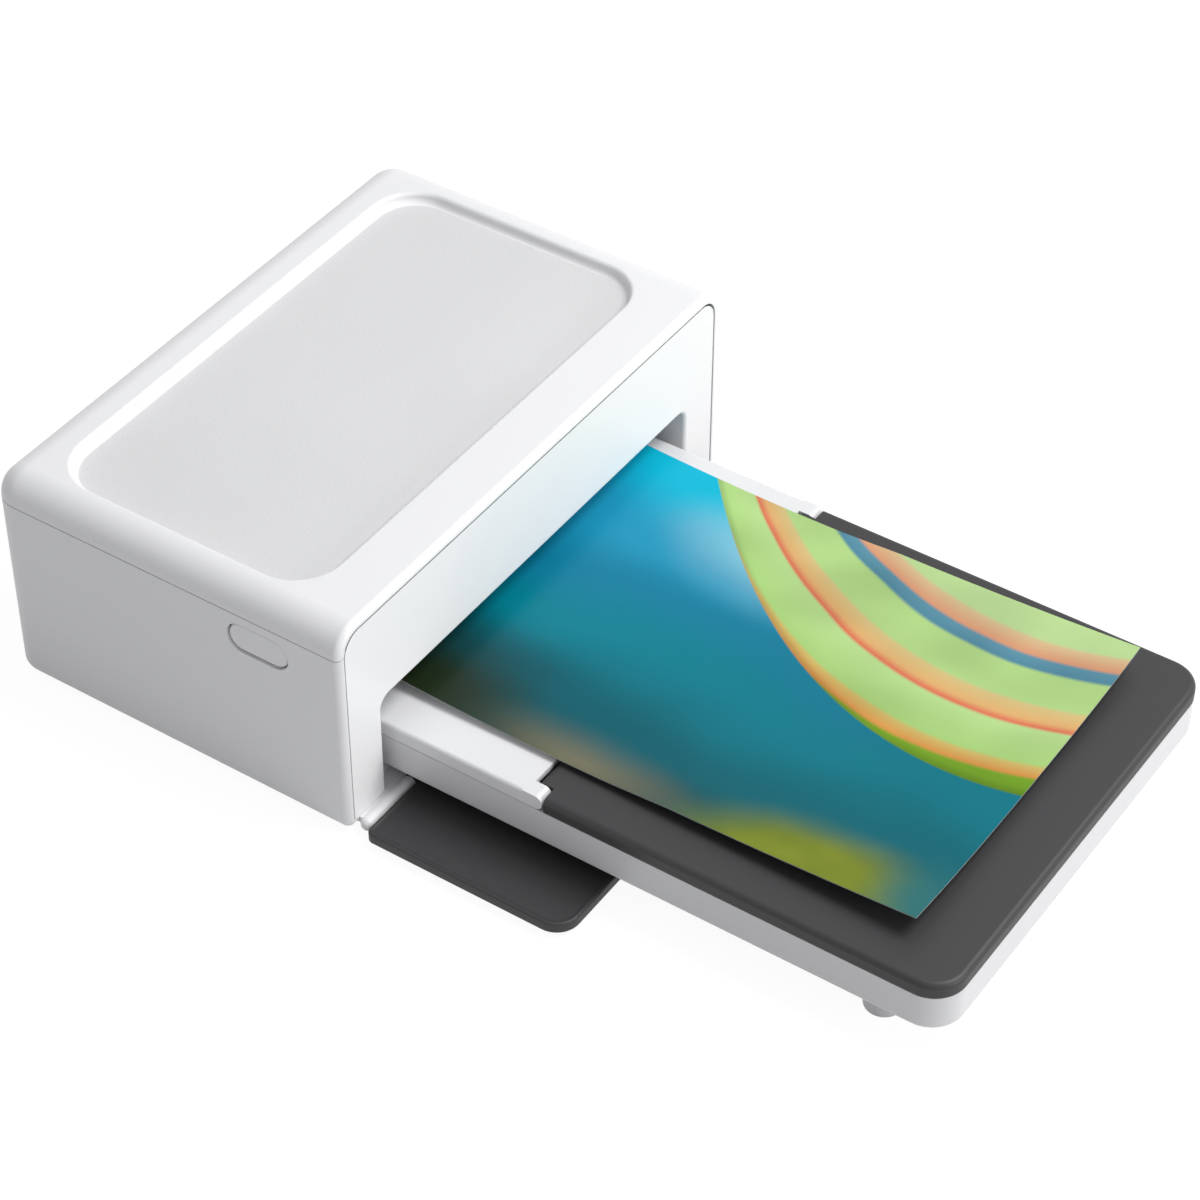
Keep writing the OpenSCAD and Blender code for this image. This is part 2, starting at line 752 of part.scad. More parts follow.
module inner_screws() place() color("gray") {
    at_board_holes() post(0, 0, board_top, board_top + 1.2, 2);
    pair() at_plate_screws() post(0, 0, floor_z + plate_t, floor_z + plate_t + 1.2, 2);
}

// ---- Ribbon ----

module tube_profile(grow) {
    translate(takeup_c) circle(tube_r + grow);
    translate(supply_c) circle(tube_r + grow);
}

module cartridge_profile(grow) {
    tube_profile(grow);
    translate([takeup_c[0], takeup_c[1] - 10 - grow]) square([tube_gap, 18 + 2 * grow]);
}

module film_slot(c, y) {
    translate(c) rotate(film_angle(c, y)) translate([0, -1]) square([tube_r + 2, 2]);
}

module ribbon_cartridge() place() color("dimgray") difference() {
    union() {
        along_x(tube_x0, tube_x1) tube_profile(0);
        along_x(tube_x1 - handle_t, tube_x1 + handle_t) cartridge_profile(0);
        box(tube_x0, tube_x0 + 4, takeup_c[0], supply_c[0], takeup_c[1] - 10, takeup_c[1] - 6.5);
    }
    along_x(tube_x0 + tube_wall, tube_x1) tube_profile(-tube_wall);
    along_x(tube_x0 + 5, tube_x1 - 5) film_slot(takeup_c, film_y0);
    along_x(tube_x0 + 5, tube_x1 - 5) film_slot(supply_c, film_y1);
    for (c = [takeup_c, supply_c]) rod(tube_x0 - 1, tube_x1 + 2.2, c, journal_r + run);
}

module ribbon_film() place() color("black") {
    rise = [0, film_t * 1.4];
    p0 = takeup_c + polar(film_angle(takeup_c, film_y0)) * (takeup_r + 0.3);
    p1 = supply_c + polar(film_angle(supply_c, film_y1)) * (supply_r + 0.3);
    along_x(paper_x - paper_w / 2 - 1, paper_x + paper_w / 2 + 1) polygon([
        p0, [film_y0, film_z], [film_y1, film_z], p1,
        p1 + rise, [film_y1, film_z + film_t], [film_y0, film_z + film_t], p0 + rise
    ]);
}

module spool(c, r) {
    rod(tube_x0 - 3, tube_x0 + 4, c, journal_r);
    rod(tube_x0 + 4, tube_x1 - 4, c, r);
    rod(tube_x1 - 4, tube_x1 + 2, c, journal_r);
}

module takeup_spool() place() color("dimgray") spool(takeup_c, takeup_r);
module supply_spool() place() color("dimgray") spool(supply_c, supply_r);

// ---- Electronics ----

module main_board() place() color("seagreen") difference() {
    box(board_x0, board_x1, board_y0, board_y1, board_z, board_top);
    at_board_holes() post(0, 0, board_z - 1, board_top + 1, 1.1);
}

module board_parts() place() color("black") translate([board_x0, board_y0, board_top]) {
    for (c = chips) translate([c[0], c[1], 0]) cube([c[2], c[3], c[4]]);
    for (i = [0:3]) translate([15 + i * 9, 38, 0]) cylinder(h = capacitor_h, r = capacitor_r);
}

module wireless_module() place() color("silver")
    translate([board_x0 + 5, board_y0 + 8, board_top]) cube([18, 16, 2.2]);

module power_inlet() place() color("black") difference() {
    union() {
        box(inlet_x - 4.5, inlet_x + 4.5, inner_back - 11.6, inner_back - 0.3,
            board_top, board_top + inlet_h);
        along_y(inner_back - 1, case_d - 0.3) translate([inlet_x, inlet_z]) circle(3.8);
    }
    difference() {
        along_y(inner_back - 9, case_d) translate([inlet_x, inlet_z]) circle(2.8);
        along_y(inner_back - 10, case_d - 1.6) translate([inlet_x, inlet_z]) circle(0.85);
    }
}

module usb_port() place() color("silver") difference() {
    box(usb_x - 4, usb_x + 4, inner_back - 6, case_d - 0.3, board_top, board_top + 3);
    box(usb_x - 3.6, usb_x + 3.6, inner_back - 5, case_d, board_top + 0.4, board_top + 2.6);
}

// Small board on the left side plate with the switch behind the button
module power_switch() place() color("dimgray") {
    box(switch_x - board_t, switch_x, button_y - 9, button_y + 9, button_z - 6, button_z + 5);
    box(switch_x - board_t - 3.5, switch_x - board_t, button_y - 3, button_y + 3,
        button_z - 3, button_z + 3);
    rod(switch_x - board_t - 4.6, switch_x - board_t - 3.5, [button_y, button_z], 1.7);
    for (y = [-6, 6]) rod(switch_x, -plate_x - plate_t, [button_y + y, button_z - 3], 1.8);
}

module button_cap() place() color("whitesmoke") translate([0, button_y, button_z]) {
    along_x(button_x, flange_x + eps) pill(button_l, button_h, 0);
    along_x(flange_x, flange_x + flange_t) pill(button_l, button_h, 1.1);
    rod(flange_x + flange_t - eps, switch_x - board_t - 4.6 - button_travel - 0.2, [0, 0], 1.8);
}

// ---- Doors ----

module flap_pins() place() color("gray") pair() rod(barrel_x - 2.3, barrel_x + 10.7, flap_c, flap_pin_r);

module front_flap() place() color([0.23, 0.23, 0.24]) {
    rim_w = 1.4;
    z1 = flap_z + flap_t;
    root = flap_c[0] - flap_barrel_r - 0.4;
    mid = barrel_x - 0.3;
    difference() {
        union() {
            along_z(flap_z, z1)
                outline(-half_w, half_w, flap_end, root, [flap_r, flap_r, flap_root_r, flap_root_r]);
            box(-mid, mid, root - 1, flap_c[0], flap_z, z1);
            rod(-mid, mid, flap_c, flap_barrel_r);
        }
        along_z(z1 - flap_rim, z1 + 1)
            outline(-half_w + rim_w, half_w - rim_w, flap_end + rim_w, root - rim_w,
                [flap_r - rim_w, flap_r - rim_w, flap_root_r - rim_w, flap_root_r - rim_w]);
        pair() rod(mid - 2.4, mid + 1, flap_c, flap_pin_r + run);
    }
}

module cartridge_door() place() color("whitesmoke") difference() {
    union() {
        box(inner_x, half_w, door_y, door_y + door_l, door_axis_z, door_z + door_h);
        rod_along_door(door_y, door_y + door_l, wall / 2);
    }
    rod_along_door(door_y - 1, door_y + 4.2, door_pin_r + run);
    rod_along_door(door_y + door_l - 4.2, door_y + door_l + 1, door_pin_r + run);
}

module door_pins() place() color("gray") {
    rod_along_door(door_y - 4, door_y + 4, door_pin_r);
    rod_along_door(door_y + door_l - 4, door_y + door_l + 4, door_pin_r);
}

// ---- Cassette ----

module cassette_base() place() color("gainsboro") {
    well_x = cass_x - cass_wall;
    difference() {
        mirror([0, 1, 0])
            soft_slab(cass_x, -cass_in, cass_reach, cass_z, cass_seam, cass_r, 0, 1.5);
        along_z(cass_z + cass_floor, cass_seam + 1)
            outline(-well_x, well_x, -cass_reach + cass_wall, cass_in - cass_wall,
                [cass_r - cass_wall, cass_r - cass_wall, 1, 1]);
        box(paper_x - paper_w / 2 - 2, paper_x + paper_w / 2 + 2, cass_in - cass_wall - 1, cass_in + 1,
            stack_top - 1.2, cass_seam + 1);
    }
    fence_z = cass_z + cass_floor - eps;
    for (s = [-1, 1]) translate([paper_x + s * (paper_w / 2 + 0.3 + fence_t / 2), 0, 0])
        box(-fence_t / 2, fence_t / 2, well_y, cass_in - cass_wall - 8, fence_z, cass_seam - 1.2);
    box(paper_x - 20, paper_x + 20, well_y - fence_t, well_y, fence_z, cass_seam - 1.2);
}

module cassette_cover() place() color("white") {
    difference() {
        union() {
            along_y(cover_y, cass_in) outline(-cass_x, cass_x, lid_z, cass_top, [0, 0, 1, 1]);
            pair() rod(ear_x, cass_x, lid_c, lid_barrel_r);
            pair() box(ear_x, cass_x, lid_c[0], cover_y + 1, lid_z, cass_top);
        }
        box(-cass_x + cass_wall, cass_x - cass_wall, cover_y - 1, cass_in + 1,
            lid_z - 1, cass_top - cass_floor);
        box(paper_x - notch_w / 2, paper_x + notch_w / 2, notch_y, cass_in + 1, lid_z - 2, cass_top + 1);
        pair() rod(ear_x - 1, ear_x + 3, lid_c, lid_pin_r);
    }
}

module cassette_lid() place() color([0.2, 0.2, 0.21]) {
    root = lid_axis + lid_barrel_r + 0.5;
    mid = ear_x - 0.3;
    in_r = cass_r - cass_wall;
    difference() {
        union() {
            mirror([0, 1, 0])
                soft_slab(cass_x, root, cass_reach, lid_z, cass_top, cass_r, lid_edge_r, 0);
            rod(-mid, mid, lid_c, lid_barrel_r);
            box(-mid, mid, -root - 1, lid_c[0], cass_top - cass_floor - 0.3, cass_top);
        }
        along_z(lid_z - 1, cass_top - cass_floor - 0.3)
            outline(-cass_x + cass_wall, cass_x - cass_wall, -cass_reach + cass_wall, -root + 0.2,
                [in_r, in_r, 0, 0]);
        pair() rod(mid - 3.3, mid + 1, lid_c, lid_pin_r + run);
    }
}

module lid_pins() place() color("gray") pair() rod(ear_x - 3.3, ear_x + 3, lid_c, lid_pin_r);

module cassette_feet() place() color("gainsboro") pair() {
    r = cass_foot / 2;
    post(cass_x - foot_side - r, foot_end + r - cass_reach, 0, cass_z, r);
}

module lift_springs() place() color("silver")
    for (y = [well_y + 30, stack_y1 - 30]) for (x = [-30, 30])
        box(paper_x + x - 6, paper_x + x + 6, y - 10, y + 10, cass_z + cass_floor, plate_z);

module lift_plate() place() color("silver")
    box(paper_x - paper_w / 2 + 1, paper_x + paper_w / 2 - 1, well_y + 3, stack_y1 - 4,
        plate_z, plate_z + lift_t);

module paper_stack() place() color("white")
    box(paper_x - paper_w / 2, paper_x + paper_w / 2, stack_y1 - paper_l, stack_y1, stack_z, stack_top);

module photo_print() place() color("darkcyan")
    box(print_x - print_w / 2, print_x + print_w / 2, print_in - paper_l, print_in,
        cass_top + 0.03, cass_top + 0.03 + print_t);

// ---- Print head ----

module thermal_head() place() color("tan")
    box(paper_x - paper_w / 2 - 2, paper_x + paper_w / 2 + 2, platen_c[0] - 4.5, platen_c[0] + 4.5,
        glaze_z, sink_z);

module head_heatsink() place() color("silver") {
    y0 = platen_c[0] - 5;
    x0 = paper_x - paper_w / 2 - 2;
    x1 = paper_x + paper_w / 2 + 2;
    difference() {
        box(x0, x1, y0, y0 + 11, sink_z, arm_z - 7);
        for (i = [0:2]) box(x0 - 1, x1 + 1, y0 + 1.4 + i * 3, y0 + 3.4 + i * 3, sink_z + 5, arm_z - 6);
    }
}

module head_arms() place() color("silver") for (s = [-1, 1])
    translate([paper_x + s * (paper_w / 2 - 6), 0, 0]) along_x(-0.8, 0.8) difference() {
        union() {
            outline(platen_c[0] - 5, head_c[0] + 1.5, arm_z, arm_z + arm_t, [0, 0, 1, 1]);
            outline(platen_c[0] - 5, platen_c[0] + 6, arm_z - 7, arm_z + 1, [0, 0, 0, 0]);
            outline(head_c[0] - 1.8, head_c[0] + 1.8, head_c[1], arm_z + 1, [0, 0, 0, 0]);
            translate(head_c) circle(hub_r);
        }
        translate(head_c) circle(head_rod_r + run);
    }

// ---- Rollers ----

module platen_roller() place() color("dimgray") difference() {
    rod(roller_x0, roller_x1, platen_c, platen_r);
    rod(roller_x0 - 1, roller_x1 + 1, platen_c, platen_shaft_r);
}

module platen_shaft() place() color("silver") rod(gear_x, plate_x + plate_t + 0.4, platen_c, platen_shaft_r);

module feed_roller() place() color("silver") {
    rod(roller_x0, roller_x1, feed_c, feed_r);
    rod(gear_x, plate_x + plate_t + 0.4, feed_c, feed_shaft_r);
}

module pinch_roller() place() color("silver") {
    hx = paper_w / 2 - 1.3;
    rod(paper_x - hx, paper_x + hx, pinch_c(), pinch_r);
    rod(paper_x - hx - 1.6, paper_x + hx + 1.6, pinch_c(), 1);
}

module arm_profile() {
    d = pickup_c - pivot_c;
    len = norm(d);
    difference() {
        union() {
            translate(pivot_c) rotate([0, 0, atan2(d[1], d[0])]) translate([0, -1.1]) square([len, 2.2]);
            translate(pivot_c) circle(1.75);
            translate(pickup_c) circle(1.9);
        }
        translate(pivot_c) circle(pickup_shaft_r + run);
        translate(pickup_c) circle(1);
    }
}

module pickup_arm() place() color("gainsboro") {
    for (s = [-1, 1]) translate([paper_x + s * 9, 0, 0]) along_x(-0.8, 0.8) arm_profile();
    rod(paper_x - 9.8, paper_x + 9.8, pickup_c, 1);
}

module pickup_roller() place() color("dimgray") difference() {
    rod(paper_x - 7.8, paper_x + 7.8, pickup_c, pickup_r);
    rod(paper_x - 9, paper_x + 9, pickup_c, 1 + run);
}

// ---- Gears ----

// Thin trapezoid teeth, so that a pair turns freely at every angle
module gear_outline(teeth) {
    r = pitch_r(teeth);
    root_a = 90 / teeth * 1.12;
    tip_a = 90 / teeth * 0.42;
    tooth = [[-root_a, r - 0.95 * gear_m], [-tip_a, r + 0.8 * gear_m], [tip_a, r + 0.8 * gear_m],
        [root_a, r - 0.95 * gear_m]];
    polygon([for (i = [0:teeth - 1]) for (p = tooth) polar(360 / teeth * i + p[0]) * p[1]]);
}

module gear(teeth, c, phase, bore) {
    along_x(gear_x, gear_x + gear_t) translate(c) rotate([0, 0, phase]) difference() {
        gear_outline(teeth);
        circle(bore);
    }
}

module platen_gear() place() color("ivory") gear(platen_teeth, platen_c, platen_ph, platen_shaft_r);
module feed_gear() place() color("ivory") gear(feed_teeth, feed_c, feed_ph, feed_shaft_r);
module idler_gear() place() color("ivory") gear(idler_teeth, idler_c, idler_ph, head_rod_r + run);
module reduction_gear() place() color("ivory") gear(reduction_teeth, red_c, red_ph, head_rod_r + run);

module takeup_gear() place() color("ivory") {
    gear(takeup_teeth, takeup_c, takeup_ph, hub_r - 1);
    rod(gear_x, tube_x0 - 3, takeup_c, hub_r);
}

module motor_pinion() place() color("goldenrod") {
    gear(pinion_teeth, pinion_c, pinion_ph, 0.9);
    rod(gear_x, -plate_x + 9, pinion_c, 1);
}

base_housing();
top_cover();
front_bezel();
rubber_feet();
cassette_rails();
chassis_left();
chassis_right();
chassis_bars();
exit_guide();
upper_guide();
lower_guide();
rear_guide();
gear_studs();
drive_motor();
head_rod();
head_springs();
pickup_shaft();
ribbon_cartridge();
ribbon_film();
main_board();
board_parts();
wireless_module();
power_inlet();
usb_port();
power_switch();
case_screws();
inner_screws();
flap_pins();
door_pins();
front_flap();
cassette_base();
cassette_cover();
cassette_feet();
lift_springs();
lift_plate();
paper_stack();
lid_pins();
photo_print();
cassette_lid();
button_cap();
cartridge_door();
thermal_head();
head_heatsink();
head_arms();
platen_roller();
platen_shaft();
platen_gear();
feed_roller();
feed_gear();
pinch_roller();
pickup_arm();
pickup_roller();
takeup_spool();
takeup_gear();
supply_spool();
idler_gear();
reduction_gear();
motor_pinion();
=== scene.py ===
"""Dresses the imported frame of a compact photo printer.

It adds the moulded case, the paper cassette, the open flap, the fresh print and a plain studio.
"""

import json
import math

import bmesh
import bpy
from bpy.props import FloatProperty, FloatVectorProperty, PointerProperty
from bpy.types import Operator, Panel, PropertyGroup
from mathutils import Matrix, Vector


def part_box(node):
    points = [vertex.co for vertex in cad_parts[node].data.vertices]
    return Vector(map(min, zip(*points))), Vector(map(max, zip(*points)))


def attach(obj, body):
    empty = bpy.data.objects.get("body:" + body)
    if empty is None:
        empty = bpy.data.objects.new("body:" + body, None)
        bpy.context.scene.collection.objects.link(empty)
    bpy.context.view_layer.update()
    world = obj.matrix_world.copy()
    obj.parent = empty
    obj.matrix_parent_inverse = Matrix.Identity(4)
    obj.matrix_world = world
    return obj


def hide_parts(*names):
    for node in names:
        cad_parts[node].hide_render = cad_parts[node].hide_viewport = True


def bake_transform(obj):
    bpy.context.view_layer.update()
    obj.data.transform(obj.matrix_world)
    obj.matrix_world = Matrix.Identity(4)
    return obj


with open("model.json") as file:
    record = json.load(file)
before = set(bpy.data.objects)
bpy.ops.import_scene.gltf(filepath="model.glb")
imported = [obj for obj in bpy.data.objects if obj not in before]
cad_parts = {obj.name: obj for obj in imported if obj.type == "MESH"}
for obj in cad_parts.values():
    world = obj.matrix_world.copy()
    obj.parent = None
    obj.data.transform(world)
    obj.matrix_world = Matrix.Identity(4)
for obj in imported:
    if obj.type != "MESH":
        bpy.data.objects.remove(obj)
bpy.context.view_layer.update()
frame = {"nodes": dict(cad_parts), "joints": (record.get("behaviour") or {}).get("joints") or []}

bl_info = {
    "name": "Compact Photo Printer",
    "version": (1, 0, 0),
    "blender": (4, 5, 0),
    "location": "View3D > Sidebar > Printer",
    "description": "Builds the visible pieces, finishes and stage of a compact photo printer",
    "category": "Object",
}

MM = 0.001
JOINTS = {joint["name"]: joint for joint in frame["joints"]}

# A normal's share along an axis: over FLAT a face is square to it, under UPRIGHT it runs along it.
FLAT = 0.99
UPRIGHT = 0.1


# ---------------------------------------------------------------- settings


def colour(name, description, default):
    return FloatVectorProperty(
        name=name, description=description, default=default,
        subtype="COLOR", size=3, min=0.0, max=1.0,
    )


def length(name, description, default):
    return FloatProperty(
        name=name, description=description, default=default,
        min=0.0, unit="LENGTH", precision=5,
    )


def power(name, description, default):
    return FloatProperty(
        name=name, description=description, default=default, min=0.0, unit="POWER")


class PrinterColours(PropertyGroup):
    """Colours of the printer's plastics, metals and papers."""

    housing: colour("Housing", "Matt white of the lower housing", (0.80, 0.80, 0.81))
    cover: colour("Cover", "Satin white of the top cover", (0.82, 0.82, 0.83))
    bezel: colour("Bezel", "Gloss white of the arch round the mouth", (0.87, 0.87, 0.875))
    cassette: colour("Cassette", "Pale grey of the cassette base", (0.66, 0.66, 0.67))
    tray: colour("Tray", "Soft white of the cassette's inner cover", (0.74, 0.74, 0.75))
    recess: colour("Recess", "Matt white of the top recess's rough floor", (0.68, 0.68, 0.685))
    charcoal: colour("Charcoal", "Dark grey of the cassette lid", (0.031, 0.031, 0.033))
    flap: colour("Flap", "Dark grey of the front flap", (0.030, 0.030, 0.032))
    steel: colour("Steel", "Plated steel of the chassis plates", (0.56, 0.57, 0.58))
    paper: colour("Paper", "White of the photo paper", (0.86, 0.86, 0.84))


class PrinterSizes(PropertyGroup):
    """Sizes of the modelled pieces that the frame doesn't give."""

    flap_rim: length("Flap rim", "Width of the raised rim round the flap", 1.4 * MM)
    flap_dip: length("Flap dip", "Depth of the flap's panel below its rim", 0.4 * MM)
    flap_corner: length("Flap corner", "Radius of the flap's outer corners", 6.5 * MM)
    flap_root: length("Flap root", "Radius of the flap's corners beside its hinge", 2 * MM)
    flap_edge: length("Flap edge", "Radius along the flap's edges", 0.6 * MM)
    flap_gap: length("Flap gap", "Gap between the flap's leaf and its hinge barrel", 0.4 * MM)
    flap_drop: length("Flap drop", "From the hinge axis down to the flap's underside", 1.3 * MM)
    knuckle: length("Hinge knuckle", "Length of a hinge pin outside the flap's barrel", 11 * MM)
    barrel_edge: length("Barrel edge", "Bevel at the ends of the flap's barrel", 0.3 * MM)
    button_edge: length("Button edge", "Radius along the button's front edge", 0.6 * MM)
    button_depth: length("Button depth", "From the button's face to its flange", 1.8 * MM)
    flange_width: length("Flange width", "How far the button's flange stands out", 1.1 * MM)
    flange_depth: length("Flange depth", "Thickness of the button's flange", 1.2 * MM)
    stem_radius: length("Stem radius", "Half width left at the ends of the stem", 0.6 * MM)
    foot_radius: length("Foot radius", "Radius of a rubber foot", 6 * MM)
    foot_edge: length("Foot edge", "Radius along the edges of the feet", 0.5 * MM)
    sole_rim: length("Sole rim", "Width of the flat rim under a foot", 1.5 * MM)
    sole_dish: length("Sole dish", "Depth of the dish under a foot", 0.3 * MM)
    sheet_thickness: length("Sheet thickness", "Thickness of the photo paper", 0.25 * MM)
    sheet_lift: length("Sheet lift", "How far the print curls up at its outer end", 3.2 * MM)
    sheet_bow: length("Sheet bow", "How far the print's long edges curl up", 2.4 * MM)
    sheet_rise: length("Sheet rise", "How far the print rises towards the mouth", 3 * MM)
    sheet_rest: length("Sheet rest", "From the lid's hinge out to where the curl starts", 12 * MM)
    sheet_fold: length("Sheet fold", "Half length of the print's bend at the lid's hinge", 10 * MM)


class PrinterStage(PropertyGroup):
    """Light and camera of the stage."""

    key_power: power("Key power", "Power of the large key lamp", 12.0)
    fill_power: power("Fill power", "Power of the soft front lamp", 3.5)
    ambient: FloatProperty(
        name="Ambient", description="Strength of the even surrounding light", default=0.40, min=0.0)
    lens: FloatProperty(
        name="Lens", description="Focal length of the camera", default=103.76, unit="CAMERA")


def colours():
    return bpy.context.scene.printer_colours


def sizes():
    return bpy.context.scene.printer_sizes


# ---------------------------------------------------------------- node trees

FLOAT, COLOUR, VECTOR = "NodeSocketFloat", "NodeSocketColor", "NodeSocketVector"


def set_sockets(item, sockets):
    """Writes values to a node's sockets by name, with _ for a space."""
    for key, value in sockets.items():
        item.inputs[key.replace("_", " ")].default_value = value


def put(tree, kind, x, y, **sockets):
    """Adds a shader node at (x, y) and sets its sockets."""
    item = tree.nodes.new(kind)
    item.location = (x, y)
    set_sockets(item, sockets)
    return item


def put_group(tree, group, x, y, **sockets):
    """Adds a shared node group at (x, y) and sets its sockets."""
    item = put(tree, "ShaderNodeGroup", x, y)
    item.node_tree = group
    set_sockets(item, sockets)
    return item


def wire(tree, source, target):
    tree.links.new(source, target)


def feed(tree, socket, value):
    """Links an output socket to an input socket, or writes a plain number there."""
    if isinstance(value, bpy.types.NodeSocket):
        wire(tree, value, socket)
    else:
        socket.default_value = value


def maths(tree, operation, a, b=0.0, c=0.0, x=0, y=0):
    item = put(tree, "ShaderNodeMath", x, y)
    item.operation = operation
    for socket, value in zip(item.inputs, (a, b, c)):
        feed(tree, socket, value)
    return item.outputs[0]


def centred(tree, value, x=0, y=0):
    """A noise that swings about 0 instead of about a half."""
    return maths(tree, "SUBTRACT", value, 0.5, x=x, y=y)


def scaled(tree, vector, factor, x=0, y=0):
    """A colour or vector times a factor."""
    item = put(tree, "ShaderNodeVectorMath", x, y)
    item.operation = "SCALE"
    wire(tree, vector, item.inputs[0])
    wire(tree, factor, item.inputs["Scale"])
    return item.outputs[0]


def smooth_step(tree, value, low, high, x=0, y=0):
    item = put(tree, "ShaderNodeMapRange", x, y)
    item.interpolation_type = "SMOOTHSTEP"
    for name, source in (("Value", value), ("From Min", low), ("From Max", high)):
        feed(tree, item.inputs[name], source)
    return item.outputs[0]


def blend_colours(tree, factor, a, b, x=0, y=0):
    item = put(tree, "ShaderNodeMix", x, y)
    item.data_type = "RGBA"
    feed(tree, item.inputs[0], factor)
    for socket, value in ((item.inputs[6], a), (item.inputs[7], b)):
        feed(tree, socket, value if isinstance(value, bpy.types.NodeSocket) else (*value, 1.0))
    return item.outputs[2]


def ramp(tree, factor, stops, x=0, y=0, mode="EASE"):
    item = put(tree, "ShaderNodeValToRGB", x, y)
    item.color_ramp.interpolation = mode
    elements = item.color_ramp.elements
    while len(elements) < len(stops):
        elements.new(0.5)
    for element, (place, tint) in zip(elements, stops):
        element.position = place
        element.color = (*tint, 1.0)
    feed(tree, item.inputs[0], factor)
    return item.outputs[0]


def noise(tree, vector, scale, detail=2.0, x=0, y=0):
    item = put(tree, "ShaderNodeTexNoise", x, y, Detail=detail)
    feed(tree, item.inputs["Scale"], scale)
    feed(tree, item.inputs["Vector"], vector)
    return item.outputs["Fac"]


def object_place(tree, x=-900, y=0):
    return put(tree, "ShaderNodeTexCoord", x, y).outputs["Object"]


def new_group(name, takes, gives):
    """A node group with inputs (name, socket type, default) and outputs (name, socket type)."""
    tree = bpy.data.node_groups.new(name, "ShaderNodeTree")
    for label, kind, default in takes:
        socket = tree.interface.new_socket(label, in_out="INPUT", socket_type=kind)
        socket.default_value = default
    for label, kind in gives:
        tree.interface.new_socket(label, in_out="OUTPUT", socket_type=kind)
    start = put(tree, "NodeGroupInput", -1100, 0)
    end = put(tree, "NodeGroupOutput", 500, 0)
    return tree, start.outputs, end.inputs


def shared(build):
    """Builds a node group when it is first asked for, and names it after its function."""
    name = build.__name__.replace("_", " ").title()
    return lambda: bpy.data.node_groups.get(name) or build(name)


@shared
def moulded_grain(name):
    """Fine spark-eroded texture of a moulded surface, as a height."""
    tree, takes, gives = new_group(
        name,
        [("Grains per metre", FLOAT, 2400.0), ("Pits", FLOAT, 0.4)],
        [("Height", FLOAT)],
    )
    place = object_place(tree)
    soft = noise(tree, place, takes["Grains per metre"], 3.0, -600, 200)
    cells = put(tree, "ShaderNodeTexVoronoi", -600, -100)
    cells.feature = "SMOOTH_F1"
    wire(tree, place, cells.inputs["Vector"])
    wire(tree, takes["Grains per metre"], cells.inputs["Scale"])
    pits = maths(tree, "MULTIPLY", cells.outputs["Distance"], takes["Pits"], x=-350, y=-100)
    wire(tree, maths(tree, "ADD", soft, pits, x=-100, y=0), gives["Height"])
    return tree


@shared
def tone_drift(name):
    """Slow change of tone over a moulding, with faint speckle."""
    specks_per_metre = 3000.0
    tree, takes, gives = new_group(
        name,
        [
            ("Colour", COLOUR, (0.8, 0.8, 0.8, 1.0)),
            ("Amount", FLOAT, 0.03),
            ("Patches per metre", FLOAT, 22.0),
            ("Speckle", FLOAT, 0.01),
        ],
        [("Colour", COLOUR)],
    )
    place = object_place(tree)
    slow = centred(tree, noise(tree, place, takes["Patches per metre"], 3.0, -650, 200), -400, 200)
    fast = centred(tree, noise(tree, place, specks_per_metre, 1.0, -650, -100), -400, -100)
    drift = maths(tree, "MULTIPLY", slow, takes["Amount"], x=-200, y=200)
    speck = maths(tree, "MULTIPLY", fast, takes["Speckle"], x=-200, y=-100)
    change = maths(tree, "ADD", maths(tree, "ADD", drift, speck, x=0, y=100), 1.0, x=100, y=100)
    wire(tree, scaled(tree, takes["Colour"], change, 250, 50), gives["Colour"])
    return tree


@shared
def handling_marks(name):
    """Roughness that varies where a surface has been touched and wiped."""
    tree, takes, gives = new_group(
        name,
        [("Roughness", FLOAT, 0.4), ("Amount", FLOAT, 0.08), ("Marks per metre", FLOAT, 40.0)],
        [("Roughness", FLOAT)],
    )
    broad = noise(tree, object_place(tree), takes["Marks per metre"], 4.0, -650, 100)
    swing = centred(tree, broad, -400, 100)
    shift = maths(tree, "MULTIPLY", swing, takes["Amount"], x=-200, y=100)
    wire(tree, maths(tree, "ADD", takes["Roughness"], shift), gives["Roughness"])
    return tree


@shared
def edge_wear(name):
    """Mask of the outer edges for a lighter tone there: painted highlight along rounded edges, with
    the rubbing of handling.
    """
    rubs_per_metre = 260.0
    tree, takes, gives = new_group(
        name,
        [("Width", FLOAT, 0.0004), ("Strength", FLOAT, 1.0)],
        [("Mask", FLOAT)],
    )
    rounded = put(tree, "ShaderNodeBevel", -700, 100)
    rounded.samples = 4
    wire(tree, takes["Width"], rounded.inputs["Radius"])
    flat = put(tree, "ShaderNodeNewGeometry", -700, -100)
    agree = put(tree, "ShaderNodeVectorMath", -450, 0)
    agree.operation = "DOT_PRODUCT"
    wire(tree, rounded.outputs["Normal"], agree.inputs[0])
    wire(tree, flat.outputs["Normal"], agree.inputs[1])
    turned = maths(tree, "SUBTRACT", 1.0, agree.outputs["Value"], x=-250, y=0)
    rubs = noise(tree, object_place(tree), rubs_per_metre, 3.0, -450, -250)
    rubbed = maths(tree, "MULTIPLY", turned, rubs, x=-50, y=0)
    gain = maths(tree, "MULTIPLY", rubbed, takes["Strength"], x=100, y=0)
    wire(tree, maths(tree, "MINIMUM", gain, 1.0, x=250, y=0), gives["Mask"])
    return tree


